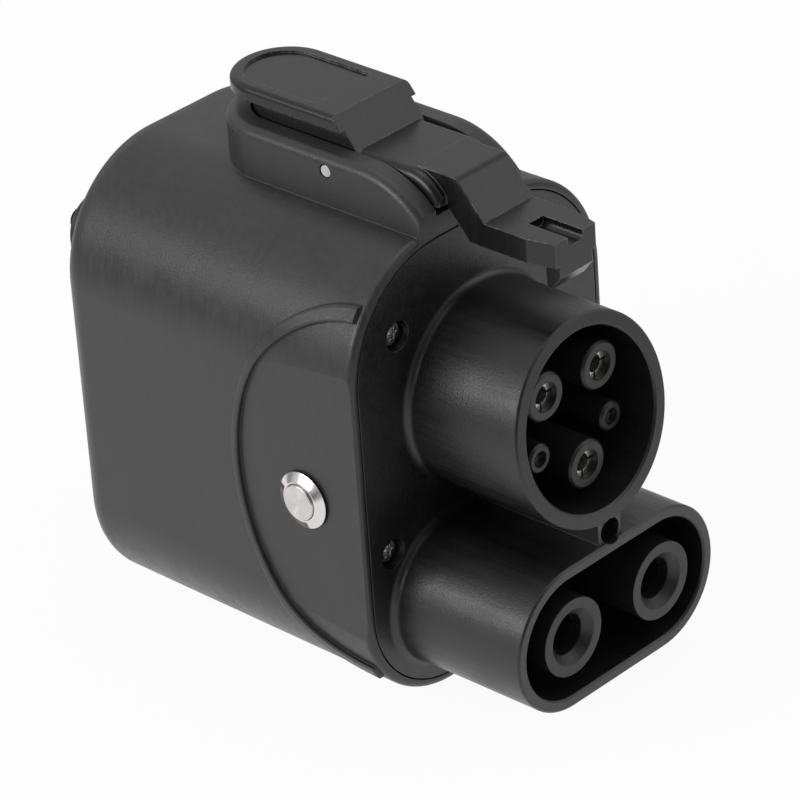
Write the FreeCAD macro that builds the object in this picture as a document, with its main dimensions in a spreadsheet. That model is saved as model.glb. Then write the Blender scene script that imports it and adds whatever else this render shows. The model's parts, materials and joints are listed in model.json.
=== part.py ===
"""Charging adapter: a boxy moulded case with a latched outlet in front and a round inlet behind.

Frame: millimetres, +Z up, the outlet barrels point to -Y, the push button is on the -X side.
The origin is the centre of the flat under the case, where the adapter rests.
"""
import FreeCAD, Part
import math
import os
import Sketcher

Vector = FreeCAD.Vector
doc = FreeCAD.newDocument("ChargingAdapter")


# Driving sizes, in millimetres and degrees

SIZES = {
    # moulded case
    "case_front": 41.5,
    "case_depth": 83.5,
    "case_width": 74.6,
    "case_rear_width": 72.0,
    "case_height": 102.0,
    "case_wall": 3.6,
    "top_corner": 27.0,
    "bottom_corner": 24.0,
    "rear_round": 6.0,
    "overcut": 1.0,
    "base_trim": 0.1,
    "lip_width": 1.9,
    "lip_round": 1.4,
    # front plate with its two barrels
    "plate_thick": 4.5,
    "plate_gap": 0.3,
    "seal_thick": 1.0,
    "ac_axis_height": 64.0,
    "ac_outer_radius": 21.9,
    "ac_wall": 3.2,
    "ac_reach": 29.3,
    "rim_slant": 9.0,
    "rim_bevel": 0.4,
    "dc_axis_height": 22.1,
    "dc_outer_radius": 15.92,
    "dc_wall": 2.56,
    "dc_arc_half": 13.75,
    "dc_reach": 33.5,
    "barrel_foot_round": 1.6,
    "web_width": 6.8,
    "web_setback": 1.0,
    "web_bore_radius": 2.7,
    "web_bore_depth": 6.0,
    # plate screws and the posts behind them
    "screw_upper_half": 23.1,
    "screw_upper_height": 83.6,
    "screw_lower_half": 28.6,
    "screw_lower_height": 36.6,
    "screw_radius": 1.5,
    "screw_length": 11.0,
    "screw_head_radius": 2.6,
    "screw_head_height": 1.8,
    "screw_sink": 1.8,
    "sink_play": 0.6,
    "screw_play": 0.3,
    "post_radius": 4.0,
    "post_depth": 14.0,
    "post_rib": 3.0,
    # outlet socket blocks, their contacts and the plate that holds them
    "block_play": 0.2,
    "block_flange": 3.0,
    "block_flange_thick": 3.0,
    "retainer_thick": 2.5,
    "retainer_half": 26.0,
    "retainer_height": 58.0,
    "retainer_ear": 4.0,
    "retainer_top": 17.0,
    "ac_floor_depth": 24.0,
    "ac_face_depth": 4.5,
    "earth_lead": 2.7,
    "line_half": 8.05,
    "line_rise": 7.3,
    "earth_drop": 10.6,
    "signal_half": 10.7,
    "signal_drop": 5.45,
    "power_tower_radius": 5.25,
    "signal_tower_radius": 3.2,
    "power_sleeve_radius": 3.1,
    "power_bore_radius": 1.9,
    "signal_sleeve_radius": 1.7,
    "signal_bore_radius": 0.9,
    "sleeve_sink": 1.6,
    "sleeve_play": 0.05,
    "sleeve_slot": 0.5,
    "sleeve_bore_depth": 18.0,
    "collar_lip": 1.1,
    "collar_thick": 1.5,
    "ac_tail_radius": 2.0,
    "signal_tail_radius": 1.0,
    "ac_tail": 6.0,
    "tail_play": 0.3,
    "dc_floor_depth": 26.0,
    "dc_contact_half": 13.4,
    "dc_tower_radius": 8.45,
    "dc_mouth_widening": 1.8,
    "dc_guard_radius": 4.4,
    "dc_sleeve_radius": 6.0,
    "dc_bore_radius": 4.1,
    "dc_sleeve_sink": 4.0,
    "dc_bore_depth": 26.0,
    "dc_rod_radius": 5.0,
    # round inlet at the rear
    "inlet_height": 52.0,
    "inlet_flange_half": 29.0,
    "inlet_flange_rise": 37.0,
    "inlet_flange_corner": 8.0,
    "inlet_flange_thick": 3.0,
    "inlet_collar": 3.0,
    "inlet_well_radius": 27.5,
    "inlet_wall": 2.5,
    "inlet_depth": 34.0,
    "inlet_floor": 3.0,
    "inlet_seal_thick": 0.8,
    "inlet_screw_half": 24.5,
    "inlet_screw_rise": 31.5,
    "inlet_boss_depth": 6.0,
    "inlet_pin_reach": 26.0,
    "carrier_thick": 8.0,
    "inlet_dc_radius": 6.0,
    "inlet_earth_radius": 3.0,
    "inlet_aux_radius": 2.5,
    "inlet_signal_radius": 1.5,
    "inlet_dc_rise": 3.0,
    "inlet_earth_drop": 14.5,
    "inlet_aux_half": 11.5,
    "inlet_aux_drop": 17.0,
    "inlet_signal_inner_half": 5.0,
    "inlet_signal_inner_rise": 18.5,
    "inlet_signal_outer_half": 12.5,
    "inlet_signal_outer_rise": 15.5,
    # bars that carry the current from the inlet to the outlet
    "bar_thick": 3.0,
    "bar_half": 6.5,
    "strap_half": 3.6,
    "bar_screw_radius": 2.0,
    "bar_head_radius": 3.6,
    "bar_screw_length": 10.0,
    "bar_screw_play": 0.1,
    # push button and the raised rim round its panel
    "panel_sink": 0.4,
    "panel_rise": 39.2,
    "panel_reach": 33.0,
    "panel_height": 51.0,
    "rim_width": 1.8,
    "rim_widening": 1.2,
    "rim_height": 1.1,
    "rim_outer_round": 0.8,
    "rim_inner_round": 0.4,
    "rim_setback": 1.7,
    "button_back": 26.2,
    "button_height": 47.9,
    "bezel_radius": 6.2,
    "bezel_edge": 0.2,
    "bezel_bevel": 1.0,
    "cap_radius": 3.9,
    "cap_length": 4.0,
    "cap_proud": 0.5,
    "cap_play": 0.1,
    "cap_travel": 1.5,
    "cap_stem_radius": 1.5,
    "button_barrel_radius": 4.9,
    "button_barrel_length": 13.0,
    "button_seal_thick": 0.5,
    "button_seat_thick": 4.0,
    "button_seat_radius": 8.2,
    "button_nut_half": 6.4,
    "button_nut_thick": 2.5,
    "button_base_radius": 4.5,
    "button_base_length": 7.0,
    "button_terminal": 4.0,
    # latch housing on top of the case
    "hood_half": 15.1,
    "hood_top": 112.5,
    "hood_rear_centre": 4.0,
    "hood_curve": 22.0,
    "hood_curve_start": 25.7,
    "hood_round": 2.2,
    "channel_half": 10.0,
    "channel_floor": 104.6,
    # latch lever and its pin
    "pivot_setback": 16.8,
    "pivot_height": 109.1,
    "pivot_radius": 1.5,
    "pivot_play": 0.05,
    "lever_play": 0.3,
    "pad_half": 11.0,
    "pad_top": 119.0,
    "pad_thick": 3.0,
    "pad_front": 15.4,
    "ramp_depth": 6.0,
    "pad_rear_centre": 8.0,
    "pad_round": 1.3,
    "skirt_wall": 1.5,
    "skirt_bottom": 108.6,
    "skirt_rear_centre": 3.6,
    "recess_inset": 2.9,
    "recess_front": 8.6,
    "recess_depth": 0.5,
    "ramp_foot": 20.7,
    "ramp_foot_height": 112.4,
    "saddle_under": 106.3,
    "saddle_end": 42.0,
    "saddle_roll": 10.0,
    "saddle_roll_start": 33.7,
    "saddle_round": 1.8,
    "bump_half": 7.3,
    "bump_back": 34.0,
    "bump_top": 112.55,
    "bump_crest": 45.1,
    "crest_round": 2.0,
    "bump_foot": 51.6,
    "arm_top": 104.8,
    "arm_under": 99.5,
    "arm_heel": 47.7,
    "arm_rise": 41.8,
    "arm_end": 68.8,
    "taper_start": 62.5,
    "end_half": 5.85,
    "hook_half": 4.7,
    "hook_tip": 93.9,
    "hook_back": 65.0,
    "hook_slant": 3.0,
    "groove_half": 2.2,
    "groove_back": 58.6,
    "groove_depth": 2.0,
    "groove_round": 1.2,
    # latch spring and latch switch
    "spring_setback": 6.0,
    "spring_radius": 2.9,
    "spring_wire": 0.4,
    "spring_pitch": 2.5,
    "spigot_radius": 2.0,
    "spigot_height": 1.8,
    "switch_centre": 3.5,
    "switch_length": 10.0,
    "switch_width": 5.8,
    "switch_body": 6.2,
    "plunger_height": 1.4,
    "plunger_radius": 0.9,
    "plunger_gap": 1.4,
    # control board, its parts and the battery under the roof of the case
    "board_half": 29.5,
    "board_front": 22.0,
    "board_length": 52.0,
    "board_thick": 1.6,
    "board_height": 84.2,
    "board_screw_inset": 3.0,
    "board_screw_setback": 4.0,
    "ledge_width": 5.5,
    "ledge_thick": 2.5,
    "battery_half": 21.0,
    "battery_length": 30.0,
    "battery_thick": 7.0,
    "battery_round": 1.5,
    "battery_setback": 14.0,
    "chip_half": 6.0,
    "chip_thick": 1.4,
    "heat_sink_half": 12.0,
    "heat_sink_length": 16.0,
    "heat_sink_height": 7.0,
    "fin_count": 6,
    "fin_thick": 1.2,
}


class Size:
    """A length that carries its number and the sheet formula behind it."""

    def __init__(self, number, formula):
        self.number = number
        self.formula = formula

    def __add__(self, other):
        return combine(self, "+", other)

    def __radd__(self, other):
        return combine(other, "+", self)

    def __sub__(self, other):
        return combine(self, "-", other)

    def __rsub__(self, other):
        return combine(other, "-", self)

    def __mul__(self, other):
        return combine(self, "*", other)

    def __rmul__(self, other):
        return combine(other, "*", self)

    def __truediv__(self, other):
        return combine(self, "/", other)

    def __neg__(self):
        return combine(0, "-", self)


def as_size(value):
    """Wrap a plain number so that it can stand beside sheet sizes."""
    return value if isinstance(value, Size) else Size(float(value), repr(float(value)))


def combine(left, sign, right):
    """Join two sizes by one arithmetic sign, in number and in formula."""
    a = as_size(left)
    b = as_size(right)
    numbers = {
        "+": a.number + b.number,
        "-": a.number - b.number,
        "*": a.number * b.number,
    }
    number = a.number / b.number if sign == "/" else numbers[sign]
    return Size(number, f"({a.formula} {sign} {b.formula})")


def tangent(angle):
    """Tangent of an angle in degrees, as a size."""
    return Size(math.tan(math.radians(angle.number)), f"tan({angle.formula} * 1 deg)")


def write_sheet(values):
    """Fill the spreadsheet and return one Size for each named cell."""
    sheet = doc.addObject("Spreadsheet::Sheet", "Sizes")
    named = {}
    for row, (name, value) in enumerate(values.items(), start=1):
        sheet.set(f"A{row}", name)
        sheet.set(f"B{row}", str(value))
        sheet.setAlias(f"B{row}", name)
        named[name] = Size(float(value), f"Sizes.{name}")
    doc.recompute()
    return named


class Named:
    """Sizes as attributes, so that a formula reads like the drawing."""

    def __init__(self, named):
        self.__dict__.update(named)


size = Named(write_sheet(SIZES))
nodes = {}


# Small helpers for sketches and features

def bind(item, prop, value):
    """Tie a property of an object to the sheet."""
    item.setExpression(prop, as_size(value).formula)


def new_body(name):
    """A body whose label names its part."""
    body = doc.addObject("PartDesign::Body", name)
    body.Label = name
    nodes[name] = body
    return body


def sketch(body, name, plane, offset=0.0):
    """An empty sketch on one of the body's origin planes, moved along its normal."""
    item = body.newObject("Sketcher::SketchObject", name)
    support = next(f for f in body.Origin.OriginFeatures if f.Role == plane)
    item.AttachmentSupport = [(support, "")]
    item.MapMode = "FlatFace"
    bind(item, "AttachmentOffset.Base.z", offset)
    return item


def front_sketch(body, name, y):
    """A sketch that faces the outlet side, at the given Y; it draws in X and Z."""
    return sketch(body, name, "XZ_Plane", -as_size(y))


def top_sketch(body, name, z):
    """A sketch that faces up, at the given Z; it draws in X and Y."""
    return sketch(body, name, "XY_Plane", z)


def side_sketch(body, name, x=0.0):
    """A sketch that faces +X, at the given X; it draws in Y and Z."""
    return sketch(body, name, "YZ_Plane", x)


def join(item, first, first_end, second, second_end, kind="Coincident"):
    item.addConstraint(Sketcher.Constraint(kind, first, first_end, second, second_end))


def pin(item, shape, end, across, up):
    """Fix one point of the sketch by its two sizes from the origin."""
    for kind, value in (("DistanceX", across), ("DistanceY", up)):
        value = as_size(value)
        index = item.addConstraint(Sketcher.Constraint(kind, -1, 1, shape, end, value.number))
        bind(item, f"Constraints[{index}]", value)


def fix_radius(item, shape, value):
    index = item.addConstraint(Sketcher.Constraint("Radius", shape, as_size(value).number))
    bind(item, f"Constraints[{index}]", value)


def point(across, up):
    return Vector(as_size(across).number, as_size(up).number, 0)


def polygon(item, corners):
    """Closed outline of straight edges, each corner given by two sizes."""
    base = item.GeometryCount
    count = len(corners)
    for index, (across, up) in enumerate(corners):
        end = corners[(index + 1) % count]
        item.addGeometry(Part.LineSegment(point(across, up), point(*end)), False)
    for index in range(count):
        join(item, base + index, 2, base + (index + 1) % count, 1)
    for index, (across, up) in enumerate(corners):
        pin(item, base + index, 1, across, up)


def box(item, low_across, low_up, high_across, high_up):
    polygon(item, [(low_across, low_up), (high_across, low_up),
                   (high_across, high_up), (low_across, high_up)])


def circle(item, across, up, radius):
    shape = item.addGeometry(
        Part.Circle(point(across, up), Vector(0, 0, 1), as_size(radius).number), False)
    fix_radius(item, shape, radius)
    pin(item, shape, 3, across, up)


def belt(item, wheels):
    """Closed outline stretched round circles given as (across, up, radius), anticlockwise."""
    base = item.GeometryCount
    count = len(wheels)
    centres = [point(across, up) for across, up, _ in wheels]
    radii = [as_size(radius).number for _, _, radius in wheels]
    touches = []
    for index in range(count):
        after = (index + 1) % count
        run = centres[after] - centres[index]
        along = Vector(run).normalize()
        lean = (radii[index] - radii[after]) / run.Length
        outward = along * lean + Vector(along.y, -along.x, 0) * math.sqrt(1 - lean * lean)
        touches.append((centres[index] + outward * radii[index],
                        centres[after] + outward * radii[after]))
    for index in range(count):
        start = touches[index - 1][1] - centres[index]
        end = touches[index][0] - centres[index]
        round_part = Part.Circle(centres[index], Vector(0, 0, 1), radii[index])
        item.addGeometry(Part.ArcOfCircle(round_part, math.atan2(start.y, start.x),
                                          math.atan2(end.y, end.x)), False)
        item.addGeometry(Part.LineSegment(*touches[index]), False)
    for index, (across, up, radius) in enumerate(wheels):
        arc = base + 2 * index
        fix_radius(item, arc, radius)
        pin(item, arc, 3, across, up)
        join(item, arc, 2, arc + 1, 1, "Tangent")
        join(item, arc + 1, 2, base + (2 * index + 2) % (2 * count), 1, "Tangent")


def arch(item, half, front, centre):
    """Outline in X and Y with a square front edge and a half-round rear end."""
    base = item.GeometryCount
    rear = Part.Circle(point(0, centre), Vector(0, 0, 1), as_size(half).number)
    item.addGeometry(Part.LineSegment(point(-half, front), point(half, front)), False)
    item.addGeometry(Part.LineSegment(point(half, front), point(half, centre)), False)
    item.addGeometry(Part.ArcOfCircle(rear, 0, math.pi), False)
    item.addGeometry(Part.LineSegment(point(-half, centre), point(-half, front)), False)
    join(item, base, 2, base + 1, 1)
    join(item, base + 1, 2, base + 2, 1, "Tangent")
    join(item, base + 2, 2, base + 3, 1, "Tangent")
    join(item, base + 3, 2, base, 1)
    pin(item, base, 1, -half, front)
    pin(item, base, 2, half, front)
    pin(item, base + 2, 3, 0, centre)
    item.addConstraint(Sketcher.Constraint("Vertical", base + 1))


def grow(body, kind, name, profile, length, reverse=False, both=False):
    """Pad or pocket a sketch; both means that it runs to either side of the sketch."""
    item = body.newObject(f"PartDesign::{kind}", name)
    item.Profile = profile
    profile.Visibility = False
    bind(item, "Length", length)
    item.Reversed = reverse
    if both:
        item.Midplane = True
    body.Tip = item
    return item


def pad(body, name, profile, length, **options):
    return grow(body, "Pad", name, profile, length, **options)


def pocket(body, name, profile, length, **options):
    return grow(body, "Pocket", name, profile, length, **options)


def loft(body, kind, name, first, second):
    item = body.newObject(f"PartDesign::{kind}", name)
    item.Profile = first
    item.Sections = [second]
    item.Ruled = True
    body.Tip = item
    return item


def soften(body, kind, name, prop, radius, chosen):
    """Fillet or chamfer the edges of the body's tip that pass the test."""
    doc.recompute()
    base = body.Tip
    edges = [f"Edge{index}" for index, edge in enumerate(base.Shape.Edges, start=1)
             if chosen(edge)]
    if not edges:
        raise ValueError(f"{name}: no edge was chosen")
    item = body.newObject(f"PartDesign::{kind}", name)
    item.Base = (base, edges)
    bind(item, prop, radius)
    body.Tip = item
    return item


def fillet(body, name, radius, chosen):
    return soften(body, "Fillet", name, "Radius", radius, chosen)


def chamfer(body, name, length, chosen):
    return soften(body, "Chamfer", name, "Size", length, chosen)


def near(value, target, within=0.02):
    return abs(value - as_size(target).number) < within


def lies_at(edge, axis, target):
    """True for an edge that lies wholly in the plane where the axis has this value."""
    bounds = edge.BoundBox
    low = getattr(bounds, axis + "Min")
    high = getattr(bounds, axis + "Max")
    return near(low, target) and near(high, target)


# Places that several parts share

case_half = size.case_width / 2
case_rear_half = size.case_rear_width / 2
front_y = -size.case_front
rear_y = front_y + size.case_depth
plate_back_y = front_y + size.plate_thick
ledge_y = plate_back_y + size.seal_thick
ac_rim_y = front_y - size.ac_reach
dc_rim_y = front_y - size.dc_reach
panel_plane = case_half - size.panel_sink
ac_inner_radius = size.ac_outer_radius - size.ac_wall
dc_inner_radius = size.dc_outer_radius - size.dc_wall
ac_floor_y = ac_rim_y + size.ac_floor_depth
ac_face_y = ac_rim_y + size.ac_face_depth
dc_floor_y = dc_rim_y + size.dc_floor_depth
block_back_y = plate_back_y + size.block_flange_thick
earth_height = size.ac_axis_height - size.earth_drop
inlet_face_y = rear_y + size.inlet_seal_thick + size.inlet_flange_thick
inlet_floor_y = inlet_face_y - size.inlet_depth
inlet_back_y = inlet_floor_y - size.inlet_floor
inlet_inner_radius = size.inlet_well_radius - size.inlet_wall
inlet_dc_height = size.inlet_height + size.inlet_dc_rise
inlet_earth_height = size.inlet_height - size.inlet_earth_drop
bar_back_y = inlet_back_y
bar_front_y = bar_back_y - size.bar_thick
plate_screws = [
    (side * half, height)
    for half, height in ((size.screw_upper_half, size.screw_upper_height),
                         (size.screw_lower_half, size.screw_lower_height))
    for side in (-1, 1)
]
inlet_screws = [
    (across * size.inlet_screw_half, size.inlet_height + up * size.inlet_screw_rise)
    for across in (-1, 1) for up in (-1, 1)
]

# The wire of the coil spring is drawn with flat sides, which keeps its surface light
wire_sides = 8


def case_outline(item, half, inset=0.0):
    """Cross-section of the case: large round shoulders, smaller round lower corners."""
    top = size.top_corner - inset
    low = size.bottom_corner - inset
    reach = half - inset
    low_centre = size.bottom_corner - size.base_trim
    belt(item, [
        (low - reach, low_centre, low),
        (reach - low, low_centre, low),
        (reach - top, size.case_height - size.top_corner, top),
        (top - reach, size.case_height - size.top_corner, top),
    ])


def make_case():
    """The moulded case with the latch housing on top and the raised rim on its button side."""
    body = new_body("case_body")
    del nodes["case_body"]
    case_loft(body, "AdditiveLoft", "case_block", 0.0)
    fillet(body, "case_rear_round", size.rear_round, lambda e: lies_at(e, "Y", rear_y))
    fillet(body, "lip_round", size.lip_round, lambda e: lies_at(e, "Y", front_y))
    base = front_sketch(body, "base_trim_outline", front_y)
    box(base, -case_half, -size.case_wall, case_half, 0)
    pocket(body, "base_trim", base, size.case_depth)
    add_hood(body)
    flatten_panel(body)

    inner_rear = front_sketch(body, "cavity_rear_outline", rear_y - size.case_wall)
    case_outline(inner_rear, case_rear_half, size.case_wall)
    inner_front = front_sketch(body, "cavity_front_outline", front_y)
    case_outline(inner_front, case_half, size.case_wall)
    loft(body, "SubtractiveLoft", "cavity", inner_rear, inner_front)
    recess = front_sketch(body, "plate_recess_outline", front_y)
    case_outline(recess, case_half, size.lip_width)
    pocket(body, "plate_recess", recess, size.plate_thick + size.seal_thick)

    cut_channel(body)
    add_screw_posts(body)
    add_board_ledges(body)
    cut_inlet_opening(body)
    add_button_seat(body)
    finish("casing_shell", fuse("case_with_rim", [body, make_side_rim()]))


def add_hood(body):
    """Latch housing: straight sides, half-round rear, and a top that rolls down in front."""
    hood = top_sketch(body, "hood_outline", size.case_height - size.top_corner)
    arch(hood, size.hood_half, front_y, size.hood_rear_centre)
    pad(body, "hood", hood, size.hood_top - size.case_height + size.top_corner)
    roll_down(body, "hood_front", -size.hood_curve_start, size.hood_curve, size.hood_top,
              front_y, size.hood_half + size.overcut)
    fillet(body, "hood_round", size.hood_round, is_hood_crown)


def roll_down(body, name, start, radius, top, front, half):
    """Cut a level top down to the front along an arc that leaves it at the start."""
    centre = top - radius
    run = front.number - start.number
    edge = centre.number + math.sqrt(radius.number ** 2 - run ** 2)
    over = top + size.overcut
    cutter = side_sketch(body, name + "_outline")
    crown = Part.Circle(point(start, centre), Vector(0, 0, 1), radius.number)
    lean = math.atan2(edge - centre.number, run)
    cutter.addGeometry(Part.ArcOfCircle(crown, math.pi / 2, lean), False)
    cutter.addGeometry(Part.LineSegment(Vector(front.number, edge, 0), point(front, over)), False)
    cutter.addGeometry(Part.LineSegment(point(front, over), point(start, over)), False)
    cutter.addGeometry(Part.LineSegment(point(start, over), point(start, top)), False)
    for index in range(4):
        join(cutter, index, 2, (index + 1) % 4, 1)
    pin(cutter, 0, 3, start, centre)
    pin(cutter, 2, 1, front, over)
    pin(cutter, 3, 1, start, over)
    pin(cutter, 3, 2, start, top)
    cutter.addConstraint(Sketcher.Constraint("Vertical", 1))
    pocket(body, name, cutter, half * 2, both=True)


def is_hood_crown(edge):
    """Outer top edges of the latch housing, along its sides and round its rear end."""
    bounds = edge.BoundBox
    beside = near(abs(bounds.XMin), size.hood_half) and near(abs(bounds.XMax), size.hood_half)
    high = near(bounds.ZMax, size.hood_top) and bounds.ZMin > size.case_height.number + 1
    return beside and high and bounds.YLength > 1


def half_oval(item, reach, rise):
    """Ellipse in Y and Z about the panel centre on the front edge of the case."""
    centre = point(front_y, size.panel_height)
    top = centre + Vector(0, rise.number, 0)
    side = centre + Vector(reach.number, 0, 0)
    oval = item.addGeometry(Part.Ellipse(top, side, centre), False)
    item.exposeInternalGeometry(oval)
    pin(item, oval, 3, front_y, size.panel_height)
    pin(item, oval + 1, 1, front_y, size.panel_height + rise)
    width = item.addConstraint(
        Sketcher.Constraint("Distance", oval + 2, 2 * reach.number))
    bind(item, f"Constraints[{width}]", 2 * reach)


def flatten_panel(body):
    """Plane round the push button, where the side of the case stands proud of it."""
    inner = side_sketch(body, "side_panel_outline", -case_half - 1)
    half_oval(inner, size.panel_reach, size.panel_rise)
    pocket(body, "side_panel", inner, case_half + 1 - panel_plane, reverse=True)


def make_side_rim():
    """Half-oval bead that follows the side of the case round its button panel."""
    body = new_body("side_rim")
    del nodes["side_rim"]
    case_loft(body, "AdditiveLoft", "rim_skin", -size.rim_height)
    reach = case_half + size.rim_height + size.overcut
    ends = front_sketch(body, "rim_end_outline", front_y)
    box(ends, -reach, -size.case_height, reach, size.case_height * 2)
    pocket(body, "rim_ends", ends, size.rim_setback)
    other = top_sketch(body, "rim_other_side_outline", size.case_height * 2)
    box(other, -size.bottom_corner / 2, front_y - size.overcut, reach, rear_y + size.overcut)
    pocket(body, "rim_other_side", other, size.case_height * 3)
    outer = (size.panel_reach + size.rim_width,
             size.panel_rise + size.rim_width + size.rim_widening)
    around = side_sketch(body, "rim_outer_outline", -reach)
    half_oval(around, *outer)
    box(around, front_y - size.case_depth, -size.case_height, rear_y + size.case_depth,
        size.case_height * 2)
    pocket(body, "rim_outside", around, reach, reverse=True)
    within = side_sketch(body, "rim_inner_outline", -reach)
    half_oval(within, size.panel_reach, size.panel_rise)
    pocket(body, "rim_inside", within, reach, reverse=True)
    fillet(body, "rim_outer_round", size.rim_outer_round, on_oval(*outer))
    fillet(body, "rim_inner_round", size.rim_inner_round,
           on_oval(size.panel_reach, size.panel_rise))
    case_loft(body, "SubtractiveLoft", "rim_core", size.case_wall / 2)
    return body


def on_oval(reach, rise):
    """Test for the edges where an oval wall of the rim meets the rim's outer skin."""
    def chosen(edge):
        middle = edge.valueAt((edge.FirstParameter + edge.LastParameter) / 2)
        along = (middle.y - front_y.number) / reach.number
        up = (middle.z - size.panel_height.number) / rise.number
        return near(math.hypot(along, up), 1) and edge.BoundBox.XMax < -case_half.number / 2
    return chosen


def case_loft(body, kind, name, inset):
    """Block between the rear and the front cross-section of the case, moved in by the inset."""
    rear = front_sketch(body, name + "_rear_outline", rear_y)
    case_outline(rear, case_rear_half, inset)
    front = front_sketch(body, name + "_front_outline", front_y)
    case_outline(front, case_half, inset)
    loft(body, kind, name, rear, front)


def cut_channel(body):
    """Channel of the latch lever, with the seat of its spring and the bore of its pin."""
    channel = top_sketch(body, "channel_outline", size.hood_top)
    arch(channel, size.channel_half, front_y - 1, size.hood_rear_centre)
    pocket(body, "latch_channel", channel, size.hood_top - size.channel_floor)
    spigot = top_sketch(body, "spring_seat_outline", size.channel_floor)
    circle(spigot, 0, size.spring_setback, size.spigot_radius)
    pad(body, "spring_seat", spigot, size.spigot_height)
    bore = side_sketch(body, "pin_bore_outline")
    circle(bore, -size.pivot_setback, size.pivot_height, size.pivot_radius)
    pocket(body, "pin_bore", bore, size.hood_half * 2 + 2, both=True)


def add_screw_posts(body):
    """Four posts behind the front plate, each tied to the side wall by a rib."""
    posts = front_sketch(body, "screw_post_outlines", plate_back_y)
    for across, up in plate_screws:
        circle(posts, across, up, size.post_radius)
    pad(body, "screw_posts", posts, size.post_depth, reverse=True)
    ribs = front_sketch(body, "post_rib_outlines", ledge_y)
    wall = case_half - size.case_wall + 0.6
    for across, up in plate_screws:
        ends = (across, wall) if across.number > 0 else (-wall, across)
        box(ribs, ends[0], up - size.post_rib / 2, ends[1], up + size.post_rib / 2)
    pad(body, "post_ribs", ribs, size.post_depth - size.seal_thick, reverse=True)
    threads = front_sketch(body, "post_thread_outlines", plate_back_y)
    for across, up in plate_screws:
        circle(threads, across, up, size.screw_radius)
    pocket(body, "post_threads", threads, size.screw_length)


def add_board_ledges(body):
    """Two ledges along the side walls that carry the control board."""
    ledges = top_sketch(body, "ledge_outlines", size.board_height)
    inner = size.board_half - size.ledge_width
    front = -size.board_front
    rear = front + size.board_length
    slope = (case_half - case_rear_half) / size.case_depth
    in_wall = case_half - size.case_wall / 2
    for side in (-1, 1):
        polygon(ledges, [
            (inner * side, front),
            ((in_wall - slope * (front - front_y)) * side, front),
            ((in_wall - slope * (rear - front_y)) * side, rear),
            (inner * side, rear),
        ])
    pad(body, "board_ledges", ledges, size.ledge_thick, reverse=True)
    threads = top_sketch(body, "ledge_thread_outlines", size.board_height)
    for across, back in board_screws:
        circle(threads, across, back, small_screw)
    pocket(body, "ledge_threads", threads, size.ledge_thick + 1)


def cut_inlet_opening(body):
    """Round opening in the rear wall, with four threaded bosses inside it."""
    bosses = front_sketch(body, "inlet_boss_outlines", rear_y - size.case_wall)
    for across, up in inlet_screws:
        circle(bosses, across, up, size.post_radius)
    pad(body, "inlet_bosses", bosses, size.inlet_boss_depth)
    well = front_sketch(body, "inlet_opening_outline", rear_y)
    circle(well, 0, size.inlet_height, size.inlet_well_radius + size.plate_gap)
    pocket(body, "inlet_opening", well, size.case_wall + size.inlet_boss_depth + 1, reverse=True)
    holes = front_sketch(body, "inlet_thread_outlines", rear_y)
    for across, up in inlet_screws:
        circle(holes, across, up, size.screw_radius)
    pocket(body, "inlet_threads", holes, size.case_wall + size.inlet_boss_depth + 1, reverse=True)


def add_button_seat(body):
    """Flat seat inside the side wall for the nut of the push button."""
    seat = side_sketch(body, "button_seat_outline", -panel_plane + 1)
    circle(seat, -size.button_back, size.button_height, size.button_seat_radius)
    pad(body, "button_seat", seat, size.button_seat_thick - 1)
    hole = side_sketch(body, "button_hole_outline", -panel_plane - 1)
    circle(hole, -size.button_back, size.button_height,
           size.button_barrel_radius + size.cap_play)
    pocket(body, "button_hole", hole, size.button_seat_thick + 2, reverse=True)
    room = side_sketch(body, "button_room_outline", size.button_seat_thick - panel_plane)
    circle(room, -size.button_back, size.button_height, size.button_seat_radius)
    pocket(body, "button_room", room, size.button_barrel_length + size.button_base_length,
           reverse=True)


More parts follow.
